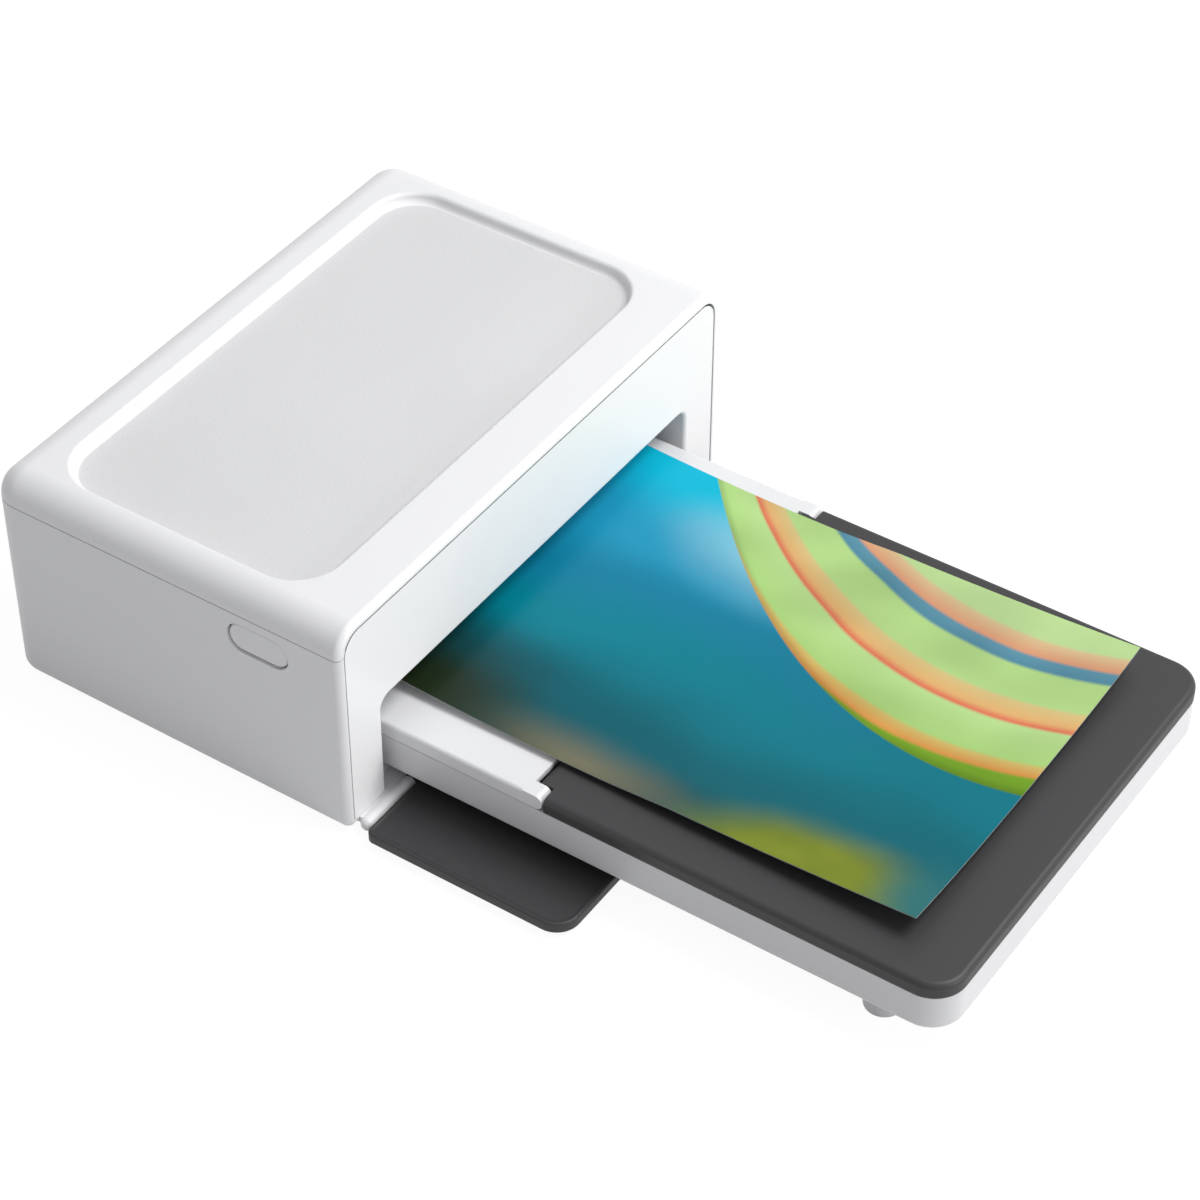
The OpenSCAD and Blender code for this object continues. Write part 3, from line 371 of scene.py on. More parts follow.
@shared
def brushed_lines(name):
    """Fine parallel scratches of rolled or turned metal."""
    tree, takes, gives = new_group(
        name,
        [("Stretch", VECTOR, (1.0, 1.0, 1.0)), ("Lines per metre", FLOAT, 900.0)],
        [("Height", FLOAT), ("Shade", FLOAT)],
    )
    longer = put(tree, "ShaderNodeVectorMath", -700, 0)
    longer.operation = "MULTIPLY"
    wire(tree, object_place(tree), longer.inputs[0])
    wire(tree, takes["Stretch"], longer.inputs[1])
    lines = noise(tree, longer.outputs[0], takes["Lines per metre"], 4.0, -450, 0)
    wire(tree, lines, gives["Height"])
    wire(tree, maths(tree, "MULTIPLY_ADD", lines, 0.3, 0.85, x=-100, y=-100), gives["Shade"])
    return tree


# ---------------------------------------------------------------- finishes


def blank_finish(name):
    """An empty material, its node tree and its Principled shader."""
    material = bpy.data.materials.new(name)
    material.use_nodes = True
    return material, material.node_tree, material.node_tree.nodes["Principled BSDF"]


def emboss(tree, shader, height, distance, strength=1.0, x=-250, y=-200):
    """Feeds a height to the shader's normal."""
    bump = put(tree, "ShaderNodeBump", x, y, Strength=strength, Distance=distance)
    wire(tree, height, bump.inputs["Height"])
    wire(tree, bump.outputs["Normal"], shader.inputs["Normal"])


def touch(tree, shader, roughness, amount, x=-500, y=50):
    """Feeds the shader a roughness that varies with handling."""
    marks = put_group(tree, handling_marks(), x, y, Roughness=roughness, Amount=amount)
    wire(tree, marks.outputs["Roughness"], shader.inputs["Roughness"])


def plastic(
    name, tint, roughness, grains, depth, drift, marks,
    clear_coat=0.0, shine=0.5, wear=0.0, worn=None,
):
    """Moulded plastic: drifting tone, spark texture, touched places, and lighter edges, a painted
    edge highlight with some rubbing.
    """
    material, tree, shader = blank_finish(name)
    speckle = drift * 0.4
    drifting = put_group(
        tree, tone_drift(), -500, 300, Colour=(*tint, 1.0), Amount=drift, Speckle=speckle)
    tone = drifting.outputs["Colour"]
    if wear > 0.0:
        # Lighter edges: painted highlight along rounded edges, with some rubbing.
        mask = put_group(tree, edge_wear(), -500, 550, Strength=wear).outputs["Mask"]
        tone = blend_colours(tree, mask, tone, worn, -250, 400)
    wire(tree, tone, shader.inputs["Base Color"])
    touch(tree, shader, roughness, marks)
    texture = put_group(tree, moulded_grain(), -500, -200, Grains_per_metre=grains)
    emboss(tree, shader, texture.outputs["Height"], depth * MM)
    set_sockets(shader, {
        "IOR": 1.5, "Specular IOR Level": shine, "Coat Weight": clear_coat, "Coat Roughness": 0.06,
    })
    return material


def metal(name, tint, roughness, stretch, lines):
    """Rolled or turned metal: brushed lines, slight staining and lighter edges, a painted edge
    highlight with some rubbing.
    """
    material, tree, shader = blank_finish(name)
    lit_edge_tint = tuple(min(1.0, channel * 1.35) for channel in tint)
    brushed = put_group(
        tree, brushed_lines(), -800, 200, Stretch=stretch, Lines_per_metre=lines)
    stained = put_group(tree, tone_drift(), -800, 450, Colour=(*tint, 1.0), Amount=0.15)
    lined = scaled(tree, stained.outputs["Colour"], brushed.outputs["Shade"], -550, 350)
    # Lighter edges: painted highlight along the edges, with some rubbing.
    mask = put_group(tree, edge_wear(), -800, 650, Strength=0.6).outputs["Mask"]
    wire(tree, blend_colours(tree, mask, lined, lit_edge_tint, -300, 400), shader.inputs["Base Color"])
    touch(tree, shader, roughness, 0.12, -800, 0)
    emboss(tree, shader, brushed.outputs["Height"], 0.01 * MM, x=-300)
    shader.inputs["Metallic"].default_value = 1.0
    return material


def page_edges(name):
    """Photo paper seen as a stack: a fine darker line for each sheet, painted shade in the gaps
    between sheets.
    """
    material, tree, shader = blank_finish(name)
    sheets = put(tree, "ShaderNodeTexWave", -600, 100, Scale=320.0, Distortion=0.15, Detail=1.0)
    sheets.bands_direction = "Z"
    wire(tree, object_place(tree), sheets.inputs["Vector"])
    line = smooth_step(tree, sheets.outputs["Fac"], 0.0, 0.35, -400, 100)
    paper = put_group(
        tree, tone_drift(), -600, 350, Colour=(*colours().paper, 1.0), Amount=0.04)
    # Darker lines between sheets: painted shade in the gaps.
    gap_shade = tuple(channel * 0.72 for channel in colours().paper)
    tone = blend_colours(tree, line, gap_shade, paper.outputs["Colour"], -200, 250)
    wire(tree, tone, shader.inputs["Base Color"])
    emboss(tree, shader, sheets.outputs["Fac"], 0.02 * MM, 0.5)
    shader.inputs["Roughness"].default_value = 0.55
    return material


def board_finish(name):
    """Green circuit board: solder mask over fine copper tracks."""
    bare, masked = (0.02, 0.13, 0.05), (0.006, 0.05, 0.025)
    material, tree, shader = blank_finish(name)
    tracks = put(tree, "ShaderNodeTexVoronoi", -700, 200, Scale=420.0)
    tracks.distance = "MANHATTAN"
    tracks.feature = "DISTANCE_TO_EDGE"
    wire(tree, object_place(tree), tracks.inputs["Vector"])
    line = smooth_step(tree, tracks.outputs["Distance"], 0.03, 0.08, -450, 200)
    wire(tree, blend_colours(tree, line, bare, masked, -250, 200), shader.inputs["Base Color"])
    emboss(tree, shader, line, 0.03 * MM, 0.6)
    shader.inputs["Roughness"].default_value = 0.28
    return material


# The print's picture. Places and reaches are shares of its width and length, from its outer left
# corner, and a stop is a place on a ramp with its colour.
WATER = (
    (0.02, (0.012, 0.045, 0.040)), (0.16, (0.000, 0.095, 0.125)), (0.38, (0.000, 0.190, 0.250)),
    (0.56, (0.004, 0.185, 0.300)), (0.74, (0.012, 0.270, 0.440)), (0.96, (0.000, 0.420, 0.590)),
)
OFFSHORE = (0.000, 0.135, 0.170)
# Centre, reach, strength and colour of the soft patches on the water: foam, sand and deep shade.
PATCHES = (
    ((0.84, 0.62), (0.22, 0.26), 0.75, (0.400, 0.620, 0.700)),
    ((0.02, 0.62), (0.13, 0.26), 0.80, (0.200, 0.180, 0.110)),
    ((0.00, 0.94), (0.36, 0.24), 0.95, (0.012, 0.020, 0.006)),
)
HILLS = ((-0.02, 0.22), (0.27, 0.34))
HILL_SHADE, HILL_LEAF = (0.06, 0.11, 0.008), (0.27, 0.31, 0.025)
BEYOND = ((0.05, 0.0), (0.16, 0.12))
BEYOND_WATER = (0.02, 0.15, 0.16)
STRIPES = (
    (0.000, (0.150, 0.330, 0.012)), (0.085, (0.185, 0.370, 0.018)),
    (0.100, (0.700, 0.300, 0.070)), (0.150, (0.620, 0.480, 0.140)),
    (0.165, (0.400, 0.640, 0.200)), (0.330, (0.470, 0.700, 0.270)),
    (0.345, (0.720, 0.160, 0.090)), (0.375, (0.740, 0.420, 0.160)),
    (0.440, (0.660, 0.520, 0.220)), (0.455, (0.440, 0.660, 0.240)),
    (0.600, (0.420, 0.640, 0.230)), (0.615, (0.080, 0.240, 0.330)),
    (0.660, (0.110, 0.290, 0.380)), (0.675, (0.720, 0.330, 0.180)),
    (0.740, (0.700, 0.520, 0.280)), (0.755, (0.500, 0.700, 0.300)),
)
# The cloth's hem is a parabola across the picture: its nearest point, and how fast it bends away.
HEM_SIDE, HEM_INWARD, HEM_BEND = 0.44, 0.12, 1.15


def sheet_place(tree):
    """Object coordinates as shares of the print's width and length."""
    low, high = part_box("photo_print")
    across, along = high.x - low.x, high.y - low.y
    fit = put(
        tree, "ShaderNodeMapping", -2300, 0,
        Location=(-low.x / across, -low.y / along, 0.0), Scale=(1 / across, 1 / along, 0.0),
    )
    wire(tree, object_place(tree, -2500, 0), fit.inputs["Vector"])
    split = put(tree, "ShaderNodeSeparateXYZ", -2100, 0)
    wire(tree, fit.outputs[0], split.inputs[0])
    return fit.outputs[0], split.outputs["X"], split.outputs["Y"]


def soft_patch(tree, place, centre, reach):
    """Wavy round patch on the print, 1 at its middle; place is across, inward and sway."""
    squares = []
    for along, middle_at, far in zip(place, centre, reach):
        share = maths(tree, "MULTIPLY", maths(tree, "SUBTRACT", along, middle_at), 1 / far)
        squares.append(maths(tree, "MULTIPLY", share, share))
    distance = maths(tree, "SQRT", maths(tree, "ADD", *squares))
    return smooth_step(tree, maths(tree, "MULTIPLY_ADD", place[2], 0.9, distance), 1.0, 0.0)


def shore_view(tree, fit, side, inward):
    """Blurred water under soft patches, with low hills to one side."""
    sway = centred(tree, noise(tree, fit, 2.4, 1.5, -1900, 300), -1700, 300)
    place = (side, inward, sway)
    depth = maths(tree, "MULTIPLY_ADD", sway, 0.35, side, x=-1500, y=300)
    offshore = maths(tree, "MULTIPLY", smooth_step(tree, inward, 0.75, 0.10), 0.55)
    view = blend_colours(tree, offshore, ramp(tree, depth, WATER, -1300, 400), OFFSHORE)
    for centre, reach, strength, tint in PATCHES:
        patch = soft_patch(tree, place, centre, reach)
        view = blend_colours(tree, maths(tree, "MULTIPLY", patch, strength), view, tint)
    mottle = noise(tree, fit, 6.0, 2.0, -1300, -200)
    leaf = blend_colours(tree, mottle, HILL_SHADE, HILL_LEAF)
    hills = smooth_step(tree, soft_patch(tree, place, *HILLS), 0.15, 0.75)
    view = blend_colours(tree, hills, view, leaf)
    beyond = maths(tree, "MULTIPLY", soft_patch(tree, place, *BEYOND), 0.9)
    return blend_colours(tree, beyond, view, BEYOND_WATER)


def striped_cloth(tree, fit, side, inward):
    """Mask and colour of a striped cloth that hangs across one corner of the picture."""
    away = maths(tree, "ABSOLUTE", maths(tree, "SUBTRACT", inward, HEM_INWARD))
    hem = maths(tree, "MULTIPLY_ADD", maths(tree, "POWER", away, 2.0), HEM_BEND, HEM_SIDE)
    over_hem = maths(tree, "SUBTRACT", side, hem)
    run = maths(tree, "MULTIPLY_ADD", inward, 0.22, maths(tree, "MULTIPLY", over_hem, 1.5))
    folds = noise(tree, fit, 5.0, 1.0, -1300, -500)
    run = maths(tree, "MULTIPLY_ADD", centred(tree, folds), 0.02, run)
    stripes = ramp(tree, run, STRIPES, -900, -400, "LINEAR")
    threads = put(tree, "ShaderNodeTexWave", -1300, -800, Scale=70.0, Distortion=1.2, Detail=2.0)
    wire(tree, fit, threads.inputs["Vector"])
    weave = maths(tree, "MULTIPLY_ADD", threads.outputs["Fac"], 0.10, 0.90)
    dip = maths(tree, "MULTIPLY_ADD", smooth_step(tree, folds, 0.3, 0.75), 0.20, 0.84)
    edge = maths(tree, "MULTIPLY_ADD", smooth_step(tree, over_hem, 0.0, 0.03), 0.25, 0.75)
    shade = maths(tree, "MULTIPLY", maths(tree, "MULTIPLY", weave, dip), edge)
    mask = smooth_step(tree, over_hem, -0.003, 0.003)
    return mask, scaled(tree, stripes, shade, -600, -400)


def picture_finish(name):
    """Gloss print of a plain view: blurred water, low hills, and a striped cloth in one corner."""
    ripples_per_metre = 90.0
    material, tree, shader = blank_finish(name)
    fit, side, inward = sheet_place(tree)
    view = shore_view(tree, fit, side, inward)
    mask, cloth = striped_cloth(tree, fit, side, inward)
    wire(tree, blend_colours(tree, mask, view, cloth, -400, 0), shader.inputs["Base Color"])
    ripple = noise(tree, object_place(tree, -900, -900), ripples_per_metre, 2.0, -600, -800)
    emboss(tree, shader, ripple, 0.012 * MM, x=-300, y=-600)
    touch(tree, shader, 0.32, 0.06, -400, -300)
    shader.inputs["Specular IOR Level"].default_value = 0.15
    return material


# Plastics and papers: a colour or the name of its setting, roughness, grains per metre, depth of
# the grain in mm, drift of tone, handling marks, and what else plastic() takes.
PLASTICS = {
    "housing_white": ("housing", 0.44, 2600, 0.016, 0.025, 0.06),
    "cover_white": ("cover", 0.36, 1800, 0.010, 0.02, 0.05, {"clear_coat": 0.05}),
    "recess_floor": ("recess", 0.60, 1500, 0.05, 0.10, 0.08),
    "bezel_gloss": ("bezel", 0.30, 500, 0.003, 0.015, 0.05, {"shine": 0.2}),
    # Dark grey for the case's grooves: painted shade, standing in for the shadow in the seams.
    "joint_grey": ((0.16, 0.16, 0.165), 0.60, 1500, 0.02, 0.10, 0.08),
    "tray_white": ("tray", 0.38, 2000, 0.012, 0.025, 0.06),
    "button_white": ("housing", 0.40, 2600, 0.012, 0.03, 0.06),
    "foot_rubber": ((0.03, 0.03, 0.032), 0.72, 1500, 0.05, 0.12, 0.1),
    "cassette_grey": ("cassette", 0.40, 2200, 0.014, 0.03, 0.06),
    # The charcoal flap and lid get lighter edges: painted highlight along their rounded edges.
    "flap_charcoal": (
        "flap", 0.50, 2600, 0.022, 0.10, 0.08,
        {"shine": 0.4, "wear": 0.9, "worn": (0.15, 0.15, 0.16)}),
    "lid_charcoal": (
        "charcoal", 0.48, 2600, 0.022, 0.08, 0.08,
        {"shine": 0.4, "wear": 0.7, "worn": (0.14, 0.14, 0.15)}),
    "guide_black": ((0.022, 0.022, 0.024), 0.42, 1800, 0.015, 0.10, 0.1),
    "cartridge_grey": ((0.16, 0.165, 0.18), 0.45, 1800, 0.02, 0.08, 0.08),
    "head_ceramic": ((0.52, 0.46, 0.36), 0.26, 900, 0.006, 0.05, 0.04, {"clear_coat": 0.3}),
    "ribbon_ink": ((0.010, 0.012, 0.016), 0.20, 300, 0.02, 0.2, 0.08),
    "roller_rubber": ((0.035, 0.035, 0.037), 0.62, 2800, 0.03, 0.1, 0.1),
    "gear_ivory": ((0.74, 0.70, 0.60), 0.36, 1600, 0.01, 0.05, 0.06),
    "chip_black": ((0.015, 0.015, 0.017), 0.48, 3200, 0.02, 0.08, 0.08),
    "print_paper": ("paper", 0.50, 3500, 0.006, 0.02, 0.05),
    # Dark grey for the print's cut edges: painted shade, so that the lit paper edge shows no white
    # line.
    "print_edge": ((0.30, 0.33, 0.34), 0.55, 3500, 0.004, 0.06, 0.05),
}
# Metals: a colour or the name of its setting, roughness, stretch of the brushed lines along
# x, y and z, and lines per metre.
METALS = {
    "plate_steel": ("steel", 0.34, (1.0, 0.03, 1.0), 1200),
    "shaft_steel": ((0.62, 0.62, 0.63), 0.22, (1.0, 0.05, 0.05), 1500),
    "screw_steel": ((0.50, 0.50, 0.51), 0.30, (1.0, 1.0, 0.2), 2200),
    "motor_can": ((0.60, 0.60, 0.59), 0.38, (0.05, 1.0, 1.0), 1600),
    "sink_aluminium": ((0.72, 0.73, 0.74), 0.36, (0.02, 1.0, 1.0), 1300),
    "pinion_brass": ((0.72, 0.50, 0.20), 0.25, (0.1, 1.0, 1.0), 1800),
}
PATTERNED = {
    "board_green": board_finish, "sheet_paper": page_edges, "print_picture": picture_finish,
}


def finish(slot):
    """The material of a finish, made when it is first asked for."""
    name = "finish_" + slot
    if name in bpy.data.materials:
        return bpy.data.materials[name]
    if slot in PATTERNED:
        return PATTERNED[slot](name)
    maker, table = (plastic, PLASTICS) if slot in PLASTICS else (metal, METALS)
    tint, *values = table[slot]
    if isinstance(tint, str):
        tint = getattr(colours(), tint)
    extras = values.pop() if isinstance(values[-1], dict) else {}
    return maker(name, tint, *values, **extras)


# ---------------------------------------------------------------- modelling

ALONG_X = (0, math.pi / 2, 0)


def only(*pieces):
    """Deselects everything but these, and makes the first one active."""
    bpy.ops.object.select_all(action="DESELECT")
    for piece in pieces:
        piece.select_set(True)
    bpy.context.view_layer.objects.active = pieces[0]


def settle(name, scale=(1.0, 1.0, 1.0)):
    """Names the new primitive and puts its place, turn and scale into its mesh."""
    piece = bpy.context.active_object
    piece.name = name
    piece.scale = scale
    bpy.ops.object.transform_apply(location=True, rotation=True, scale=True)
    return piece


def block(name, low, high):
    """A box between two corners."""
    bpy.ops.object.select_all(action="DESELECT")
    low, high = Vector(low), Vector(high)
    bpy.ops.mesh.primitive_cube_add(size=1, location=(low + high) / 2)
    return settle(name, high - low)


def drum(name, centre, radius, depth, turn=(0.0, 0.0, 0.0), sides=48):
    """A round bar, upright unless it is turned."""
    bpy.ops.object.select_all(action="DESELECT")
    bpy.ops.mesh.primitive_cylinder_add(
        vertices=sides, radius=radius, depth=depth, location=centre, rotation=turn)
    return settle(name)


class Editing:
    """Edit mode on one piece, with faces, edges and vertices picked in code."""

    def __init__(self, piece):
        self.piece = piece

    def __enter__(self):
        only(self.piece)
        bpy.ops.object.mode_set(mode="EDIT")
        return self

    def __exit__(self, *_):
        bpy.ops.object.mode_set(mode="OBJECT")

    def pick(self, kind, test):
        """Selects the faces, edges or vertices that pass a test."""
        bpy.ops.mesh.select_mode(type={"faces": "FACE", "edges": "EDGE", "verts": "VERT"}[kind])
        bpy.ops.mesh.select_all(action="DESELECT")
        shape = bmesh.from_edit_mesh(self.piece.data)
        for item in getattr(shape, kind):
            if test(item):
                item.select_set(True)
        shape.select_flush_mode()
        bmesh.update_edit_mesh(self.piece.data)

    def bevel(self, kind, test, radius, segments):
        """Rounds the edges that pass a test."""
        self.pick(kind, test)
        bpy.ops.mesh.bevel(offset=radius, segments=segments, affect="EDGES")

    def extrude_x(self, distance):
        """Extrudes what is selected along x."""
        bpy.ops.mesh.extrude_region_move(TRANSFORM_OT_translate={"value": (distance, 0, 0)})


def near(a, b, slack=2e-5):
    return abs(a - b) < slack


def middle(edge):
    return (edge.verts[0].co + edge.verts[1].co) / 2


def rim_edge(edge, z):
    """An edge of the level z where a flat face meets an upright one."""
    level = all(near(vertex.co.z, z) for vertex in edge.verts)
    return level and any(abs(face.normal.z) < UPRIGHT for face in edge.link_faces)


def use_modifier(piece, kind, **values):
    """Adds a modifier with its values and applies it."""
    only(piece)
    modifier = piece.modifiers.new(kind.title(), kind)
    for key, value in values.items():
        setattr(modifier, key, value)
    bpy.ops.object.modifier_apply(modifier=modifier.name)


def smooth(piece, angle=35):
    """Smooth shading that keeps real edges and flat faces."""
    only(piece)
    bpy.ops.object.shade_smooth_by_angle(angle=math.radians(angle))
    use_modifier(piece, "WEIGHTED_NORMAL", keep_sharp=True, weight=100)


def join(name, *pieces):
    only(*pieces)
    bpy.ops.object.join()
    piece = bpy.context.active_object
    piece.name = name
    return piece


def copied(piece, x, y=0.0):
    """A copy of a piece with its own mesh, moved across the table by (x, y)."""
    only(piece)
    bpy.ops.object.duplicate(linked=False)
    copy = bpy.context.active_object
    with Editing(copy):
        bpy.ops.mesh.select_all(action="SELECT")
        bpy.ops.transform.translate(value=(x, y, 0))
    return copy


def coat(piece, slot, *nodes):
    """Puts a finish on a piece and lets it stand for its CAD nodes."""
    piece.data.materials.clear()
    piece.data.materials.append(finish(slot))
    if nodes:
        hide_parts(*nodes)


def second_finish(piece, slot, test):
    """Gives the faces that pass a test a finish of their own."""
    piece.data.materials.append(finish(slot))
    for face in piece.data.polygons:
        if test(face):
            face.material_index = len(piece.data.materials) - 1


def give(piece, slot, body, *nodes):
    """Coats a piece and rides it on its body."""
    coat(piece, slot, *nodes)
    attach(piece, body)


def merged_copy(node, name):
    """A copy of a CAD node as one closed skin, with its coplanar triangles joined."""
    same_point, same_plane = 1e-6, math.radians(0.2)
    piece = bpy.data.objects.new(name, frame["nodes"][node].data.copy())
    bpy.context.scene.collection.objects.link(piece)
    only(piece)
    bpy.ops.mesh.customdata_custom_splitnormals_clear()
    with Editing(piece):
        bpy.ops.mesh.select_all(action="SELECT")
        bpy.ops.mesh.remove_doubles(threshold=same_point)
        bpy.ops.mesh.dissolve_limited(angle_limit=same_plane)
    return piece


def skin(node, slot, body):
    """A smooth skin in the shape of a CAD node, which it replaces."""
    piece = merged_copy(node, node + "_skin")
    smooth(piece, 30)
    give(piece, slot, body, node)
    return piece


def round_foot(name, node, x, y, radius):
    """A round foot at (x, y) with a soft edge and a dished sole, between its CAD node's levels."""
    low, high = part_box(node)
    size = sizes()
    foot = drum(name, (x, y, (low.z + high.z) / 2), radius, high.z - low.z)
    with Editing(foot) as work:
        work.bevel("edges", lambda e: rim_edge(e, low.z), size.foot_edge, 3)
        work.pick("faces", lambda f: f.normal.z < -FLAT)
        bpy.ops.mesh.inset(thickness=size.sole_rim, depth=-size.sole_dish)
    return foot


# ---------------------------------------------------------------- pieces


class PRINTER_OT_case(Operator):
    """Lower housing, top cover and front bezel as smooth closed skins"""

    bl_idname = "printer.case"
    bl_label = "Case"

    def execute(self, context):
        housing = skin("base_housing", "housing_white", "printer")
        seam, seam_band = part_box("top_cover")[0].z, 0.5 * MM
        # Upward faces inside the seam between housing and cover get a dark grey: painted shade in
        # the seam.
        second_finish(
            housing, "joint_grey",
            lambda f: f.normal.z > FLAT and near(f.center.z, seam, seam_band))
        cover = skin("top_cover", "cover_white", "printer")
        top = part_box("top_cover")[1].z
        deepest, shallowest = top - 5 * MM, top - 2 * MM
        second_finish(
            cover, "recess_floor",
            lambda f: f.normal.z > FLAT and deepest < f.center.z < shallowest)
        bezel = skin("front_bezel", "bezel_gloss", "printer")
        # Upward faces along the bezel's top, under the cover's rim, get a dark grey: painted shade
        # in the groove.
        brow, brow_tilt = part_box("front_bezel")[1].z - 6 * MM, 0.4
        second_finish(
            bezel, "joint_grey", lambda f: f.normal.z > brow_tilt and f.center.z > brow)
        return {"FINISHED"}


class PRINTER_OT_cassette(Operator):
    """Cassette base, inner cover, lid and the feet under its outer end"""

    bl_idname = "printer.cassette"
    bl_label = "Cassette"

    def execute(self, context):
        skin("cassette_base", "cassette_grey", "cassette")
        inner_cover = skin("cassette_cover", "cover_white", "cassette")
        inner_cover.data.materials[0] = finish("tray_white")
        skin("cassette_lid", "lid_charcoal", "lid")
        low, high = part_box("cassette_feet")
        radius = (high.y - low.y) / 2
        left = round_foot("cassette_foot", "cassette_feet", low.x + radius, low.y + radius, radius)
        right = copied(left, high.x - low.x - 2 * radius)
        feet = join("cassette_foot_pair", left, right)
        smooth(feet)
        give(feet, "cassette_grey", "cassette", "cassette_feet")
        return {"FINISHED"}


def flap_leaf(low, high):
    """The flap's flat leaf with rounded corners, a raised rim and soft edges."""
    size = sizes()
    panel_area = 0.004
    leaf = block("flap_leaf", low, high)
    level = (low.z + high.z) / 2
    with Editing(leaf) as work:
        for y, radius in ((low.y, size.flap_corner), (high.y, size.flap_root)):
            work.bevel(
                "edges", lambda e: near(middle(e).y, y) and near(middle(e).z, level), radius, 10)
        work.pick("faces", lambda f: f.normal.z > FLAT)
        bpy.ops.mesh.inset(thickness=size.flap_rim - size.flap_dip, depth=0)
        work.pick("faces", lambda f: f.normal.z > FLAT and f.calc_area() > panel_area)
        bpy.ops.mesh.inset(thickness=size.flap_dip * 1.5, depth=-size.flap_dip)
        work.bevel(
            "edges", lambda e: rim_edge(e, high.z) or rim_edge(e, low.z), size.flap_edge, 3)
    return leaf


def end_edge(edge):
    """An edge round the end of a bar that lies along x."""
    return len(edge.link_faces) == 2 and any(abs(face.normal.x) > FLAT for face in edge.link_faces)


class PRINTER_OT_flap(Operator):
    """Front flap with its raised rim, soft edges and hinge barrel"""

    bl_idname = "printer.flap"
    bl_label = "Front flap"

    def execute(self, context):
        size = sizes()
        low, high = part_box("front_flap")
        axis = Vector(JOINTS["flap_hinge"]["pos_m"])
        barrel_r = high.y - axis.y
        root = axis.y - barrel_r - size.flap_gap
        under = axis.z - size.flap_drop
        leaf = flap_leaf(Vector((low.x, low.y, under)), Vector((high.x, root, high.z)))
        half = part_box("flap_pins")[1].x - size.knuckle
        barrel = drum("flap_barrel", axis, barrel_r, 2 * half, ALONG_X, 40)
        with Editing(barrel) as work:
            work.bevel("edges", end_edge, size.barrel_edge, 2)
        side, sunk, overlap = half - 0.1 * MM, 0.05 * MM, 1 * MM
        web = block(
            "flap_web",
            (-side, root - overlap, under + sunk), (side, axis.y, high.z - size.flap_dip))
        flap = join("flap", leaf, barrel, web)
        smooth(flap)
        give(flap, "flap_charcoal", "flap", "front_flap")
        return {"FINISHED"}


class PRINTER_OT_power_button(Operator):
    """Pill-shaped power button with a soft edge, its flange and its stem"""

    bl_idname = "printer.power_button"
    bl_label = "Power button"

    def execute(self, context):
        size = sizes()
        low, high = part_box("button_cap")
        mid = (low + high) / 2
        radius = (high.z - low.z) / 2 - size.flange_width
        reach = (high.y - low.y) / 2 - size.flange_width - radius
        face, back = low.x, low.x + size.button_depth
        centre = ((face + back) / 2, mid.y - reach, mid.z)
        cap = drum("button_pill", centre, radius, back - face, ALONG_X, 64)
        with Editing(cap) as work:
            work.pick("verts", lambda v: v.co.y > mid.y - reach + 1e-6)
            bpy.ops.transform.translate(value=(0, 2 * reach, 0))
            work.bevel(
                "edges", lambda e: all(near(v.co.x, face) for v in e.verts), size.button_edge, 4)
            work.pick("faces", lambda f: f.normal.x > FLAT)
            bpy.ops.mesh.inset(thickness=size.flange_width, use_outset=True)
            work.pick("faces", lambda f: f.normal.x > FLAT)
            work.extrude_x(size.flange_depth)
            bpy.ops.mesh.inset(thickness=radius - size.stem_radius)
            work.extrude_x(high.x - back - size.flange_depth)
            bpy.ops.mesh.select_all(action="SELECT")
            bpy.ops.mesh.normals_make_consistent(inside=False)
        smooth(cap)
        give(cap, "button_white", "power_button", "button_cap")
        return {"FINISHED"}


class PRINTER_OT_rubber_feet(Operator):
    """Four round rubber feet with a soft edge and a dished sole"""

    bl_idname = "printer.rubber_feet"
    bl_label = "Rubber feet"

    def execute(self, context):
        low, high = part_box("rubber_feet")
        radius = sizes().foot_radius
        span_x, span_y = high.x - low.x - 2 * radius, high.y - low.y - 2 * radius
        first = round_foot("foot", "rubber_feet", low.x + radius, low.y + radius, radius)
        corners = ((span_x, 0.0), (0.0, span_y), (span_x, span_y))
        pads = join("foot_pads", first, *[copied(first, x, y) for x, y in corners])
        smooth(pads)
        give(pads, "foot_rubber", "printer", "rubber_feet")
        return {"FINISHED"}


class PRINTER_OT_cartridge_door(Operator):
    """Door of the ribbon cartridge at the right end"""

    bl_idname = "printer.cartridge_door"
    bl_label = "Cartridge door"

    def execute(self, context):
        skin("cartridge_door", "housing_white", "door")
        return {"FINISHED"}


def curl(sheet, low, high):
    """Curls a flat sheet up at its outer end, along its long edges and towards the mouth."""
    size = sizes()
    edge_power, least_bow, bow_growth = 2.5, 0.6, 2
    mid_x = (low.x + high.x) / 2
    reach = JOINTS["lid_hinge"]["pos_m"][1] - size.sheet_rest - low.y
    shape = bmesh.new()
    shape.from_mesh(sheet.data)
    for vertex in shape.verts:
        out = max(0.0, (low.y + reach - vertex.co.y) / reach)
        rise = max(0.0, (vertex.co.y - low.y - reach) / (high.y - low.y - reach))
        side = abs(vertex.co.x - mid_x) / (high.x - mid_x)
        bow = size.sheet_bow * side ** edge_power * min(1.0, least_bow + bow_growth * out)
        vertex.co.z += size.sheet_lift * out ** 2 + size.sheet_rise * rise ** 2 + bow * (1 - rise)
    shape.to_mesh(sheet.data)
    shape.free()


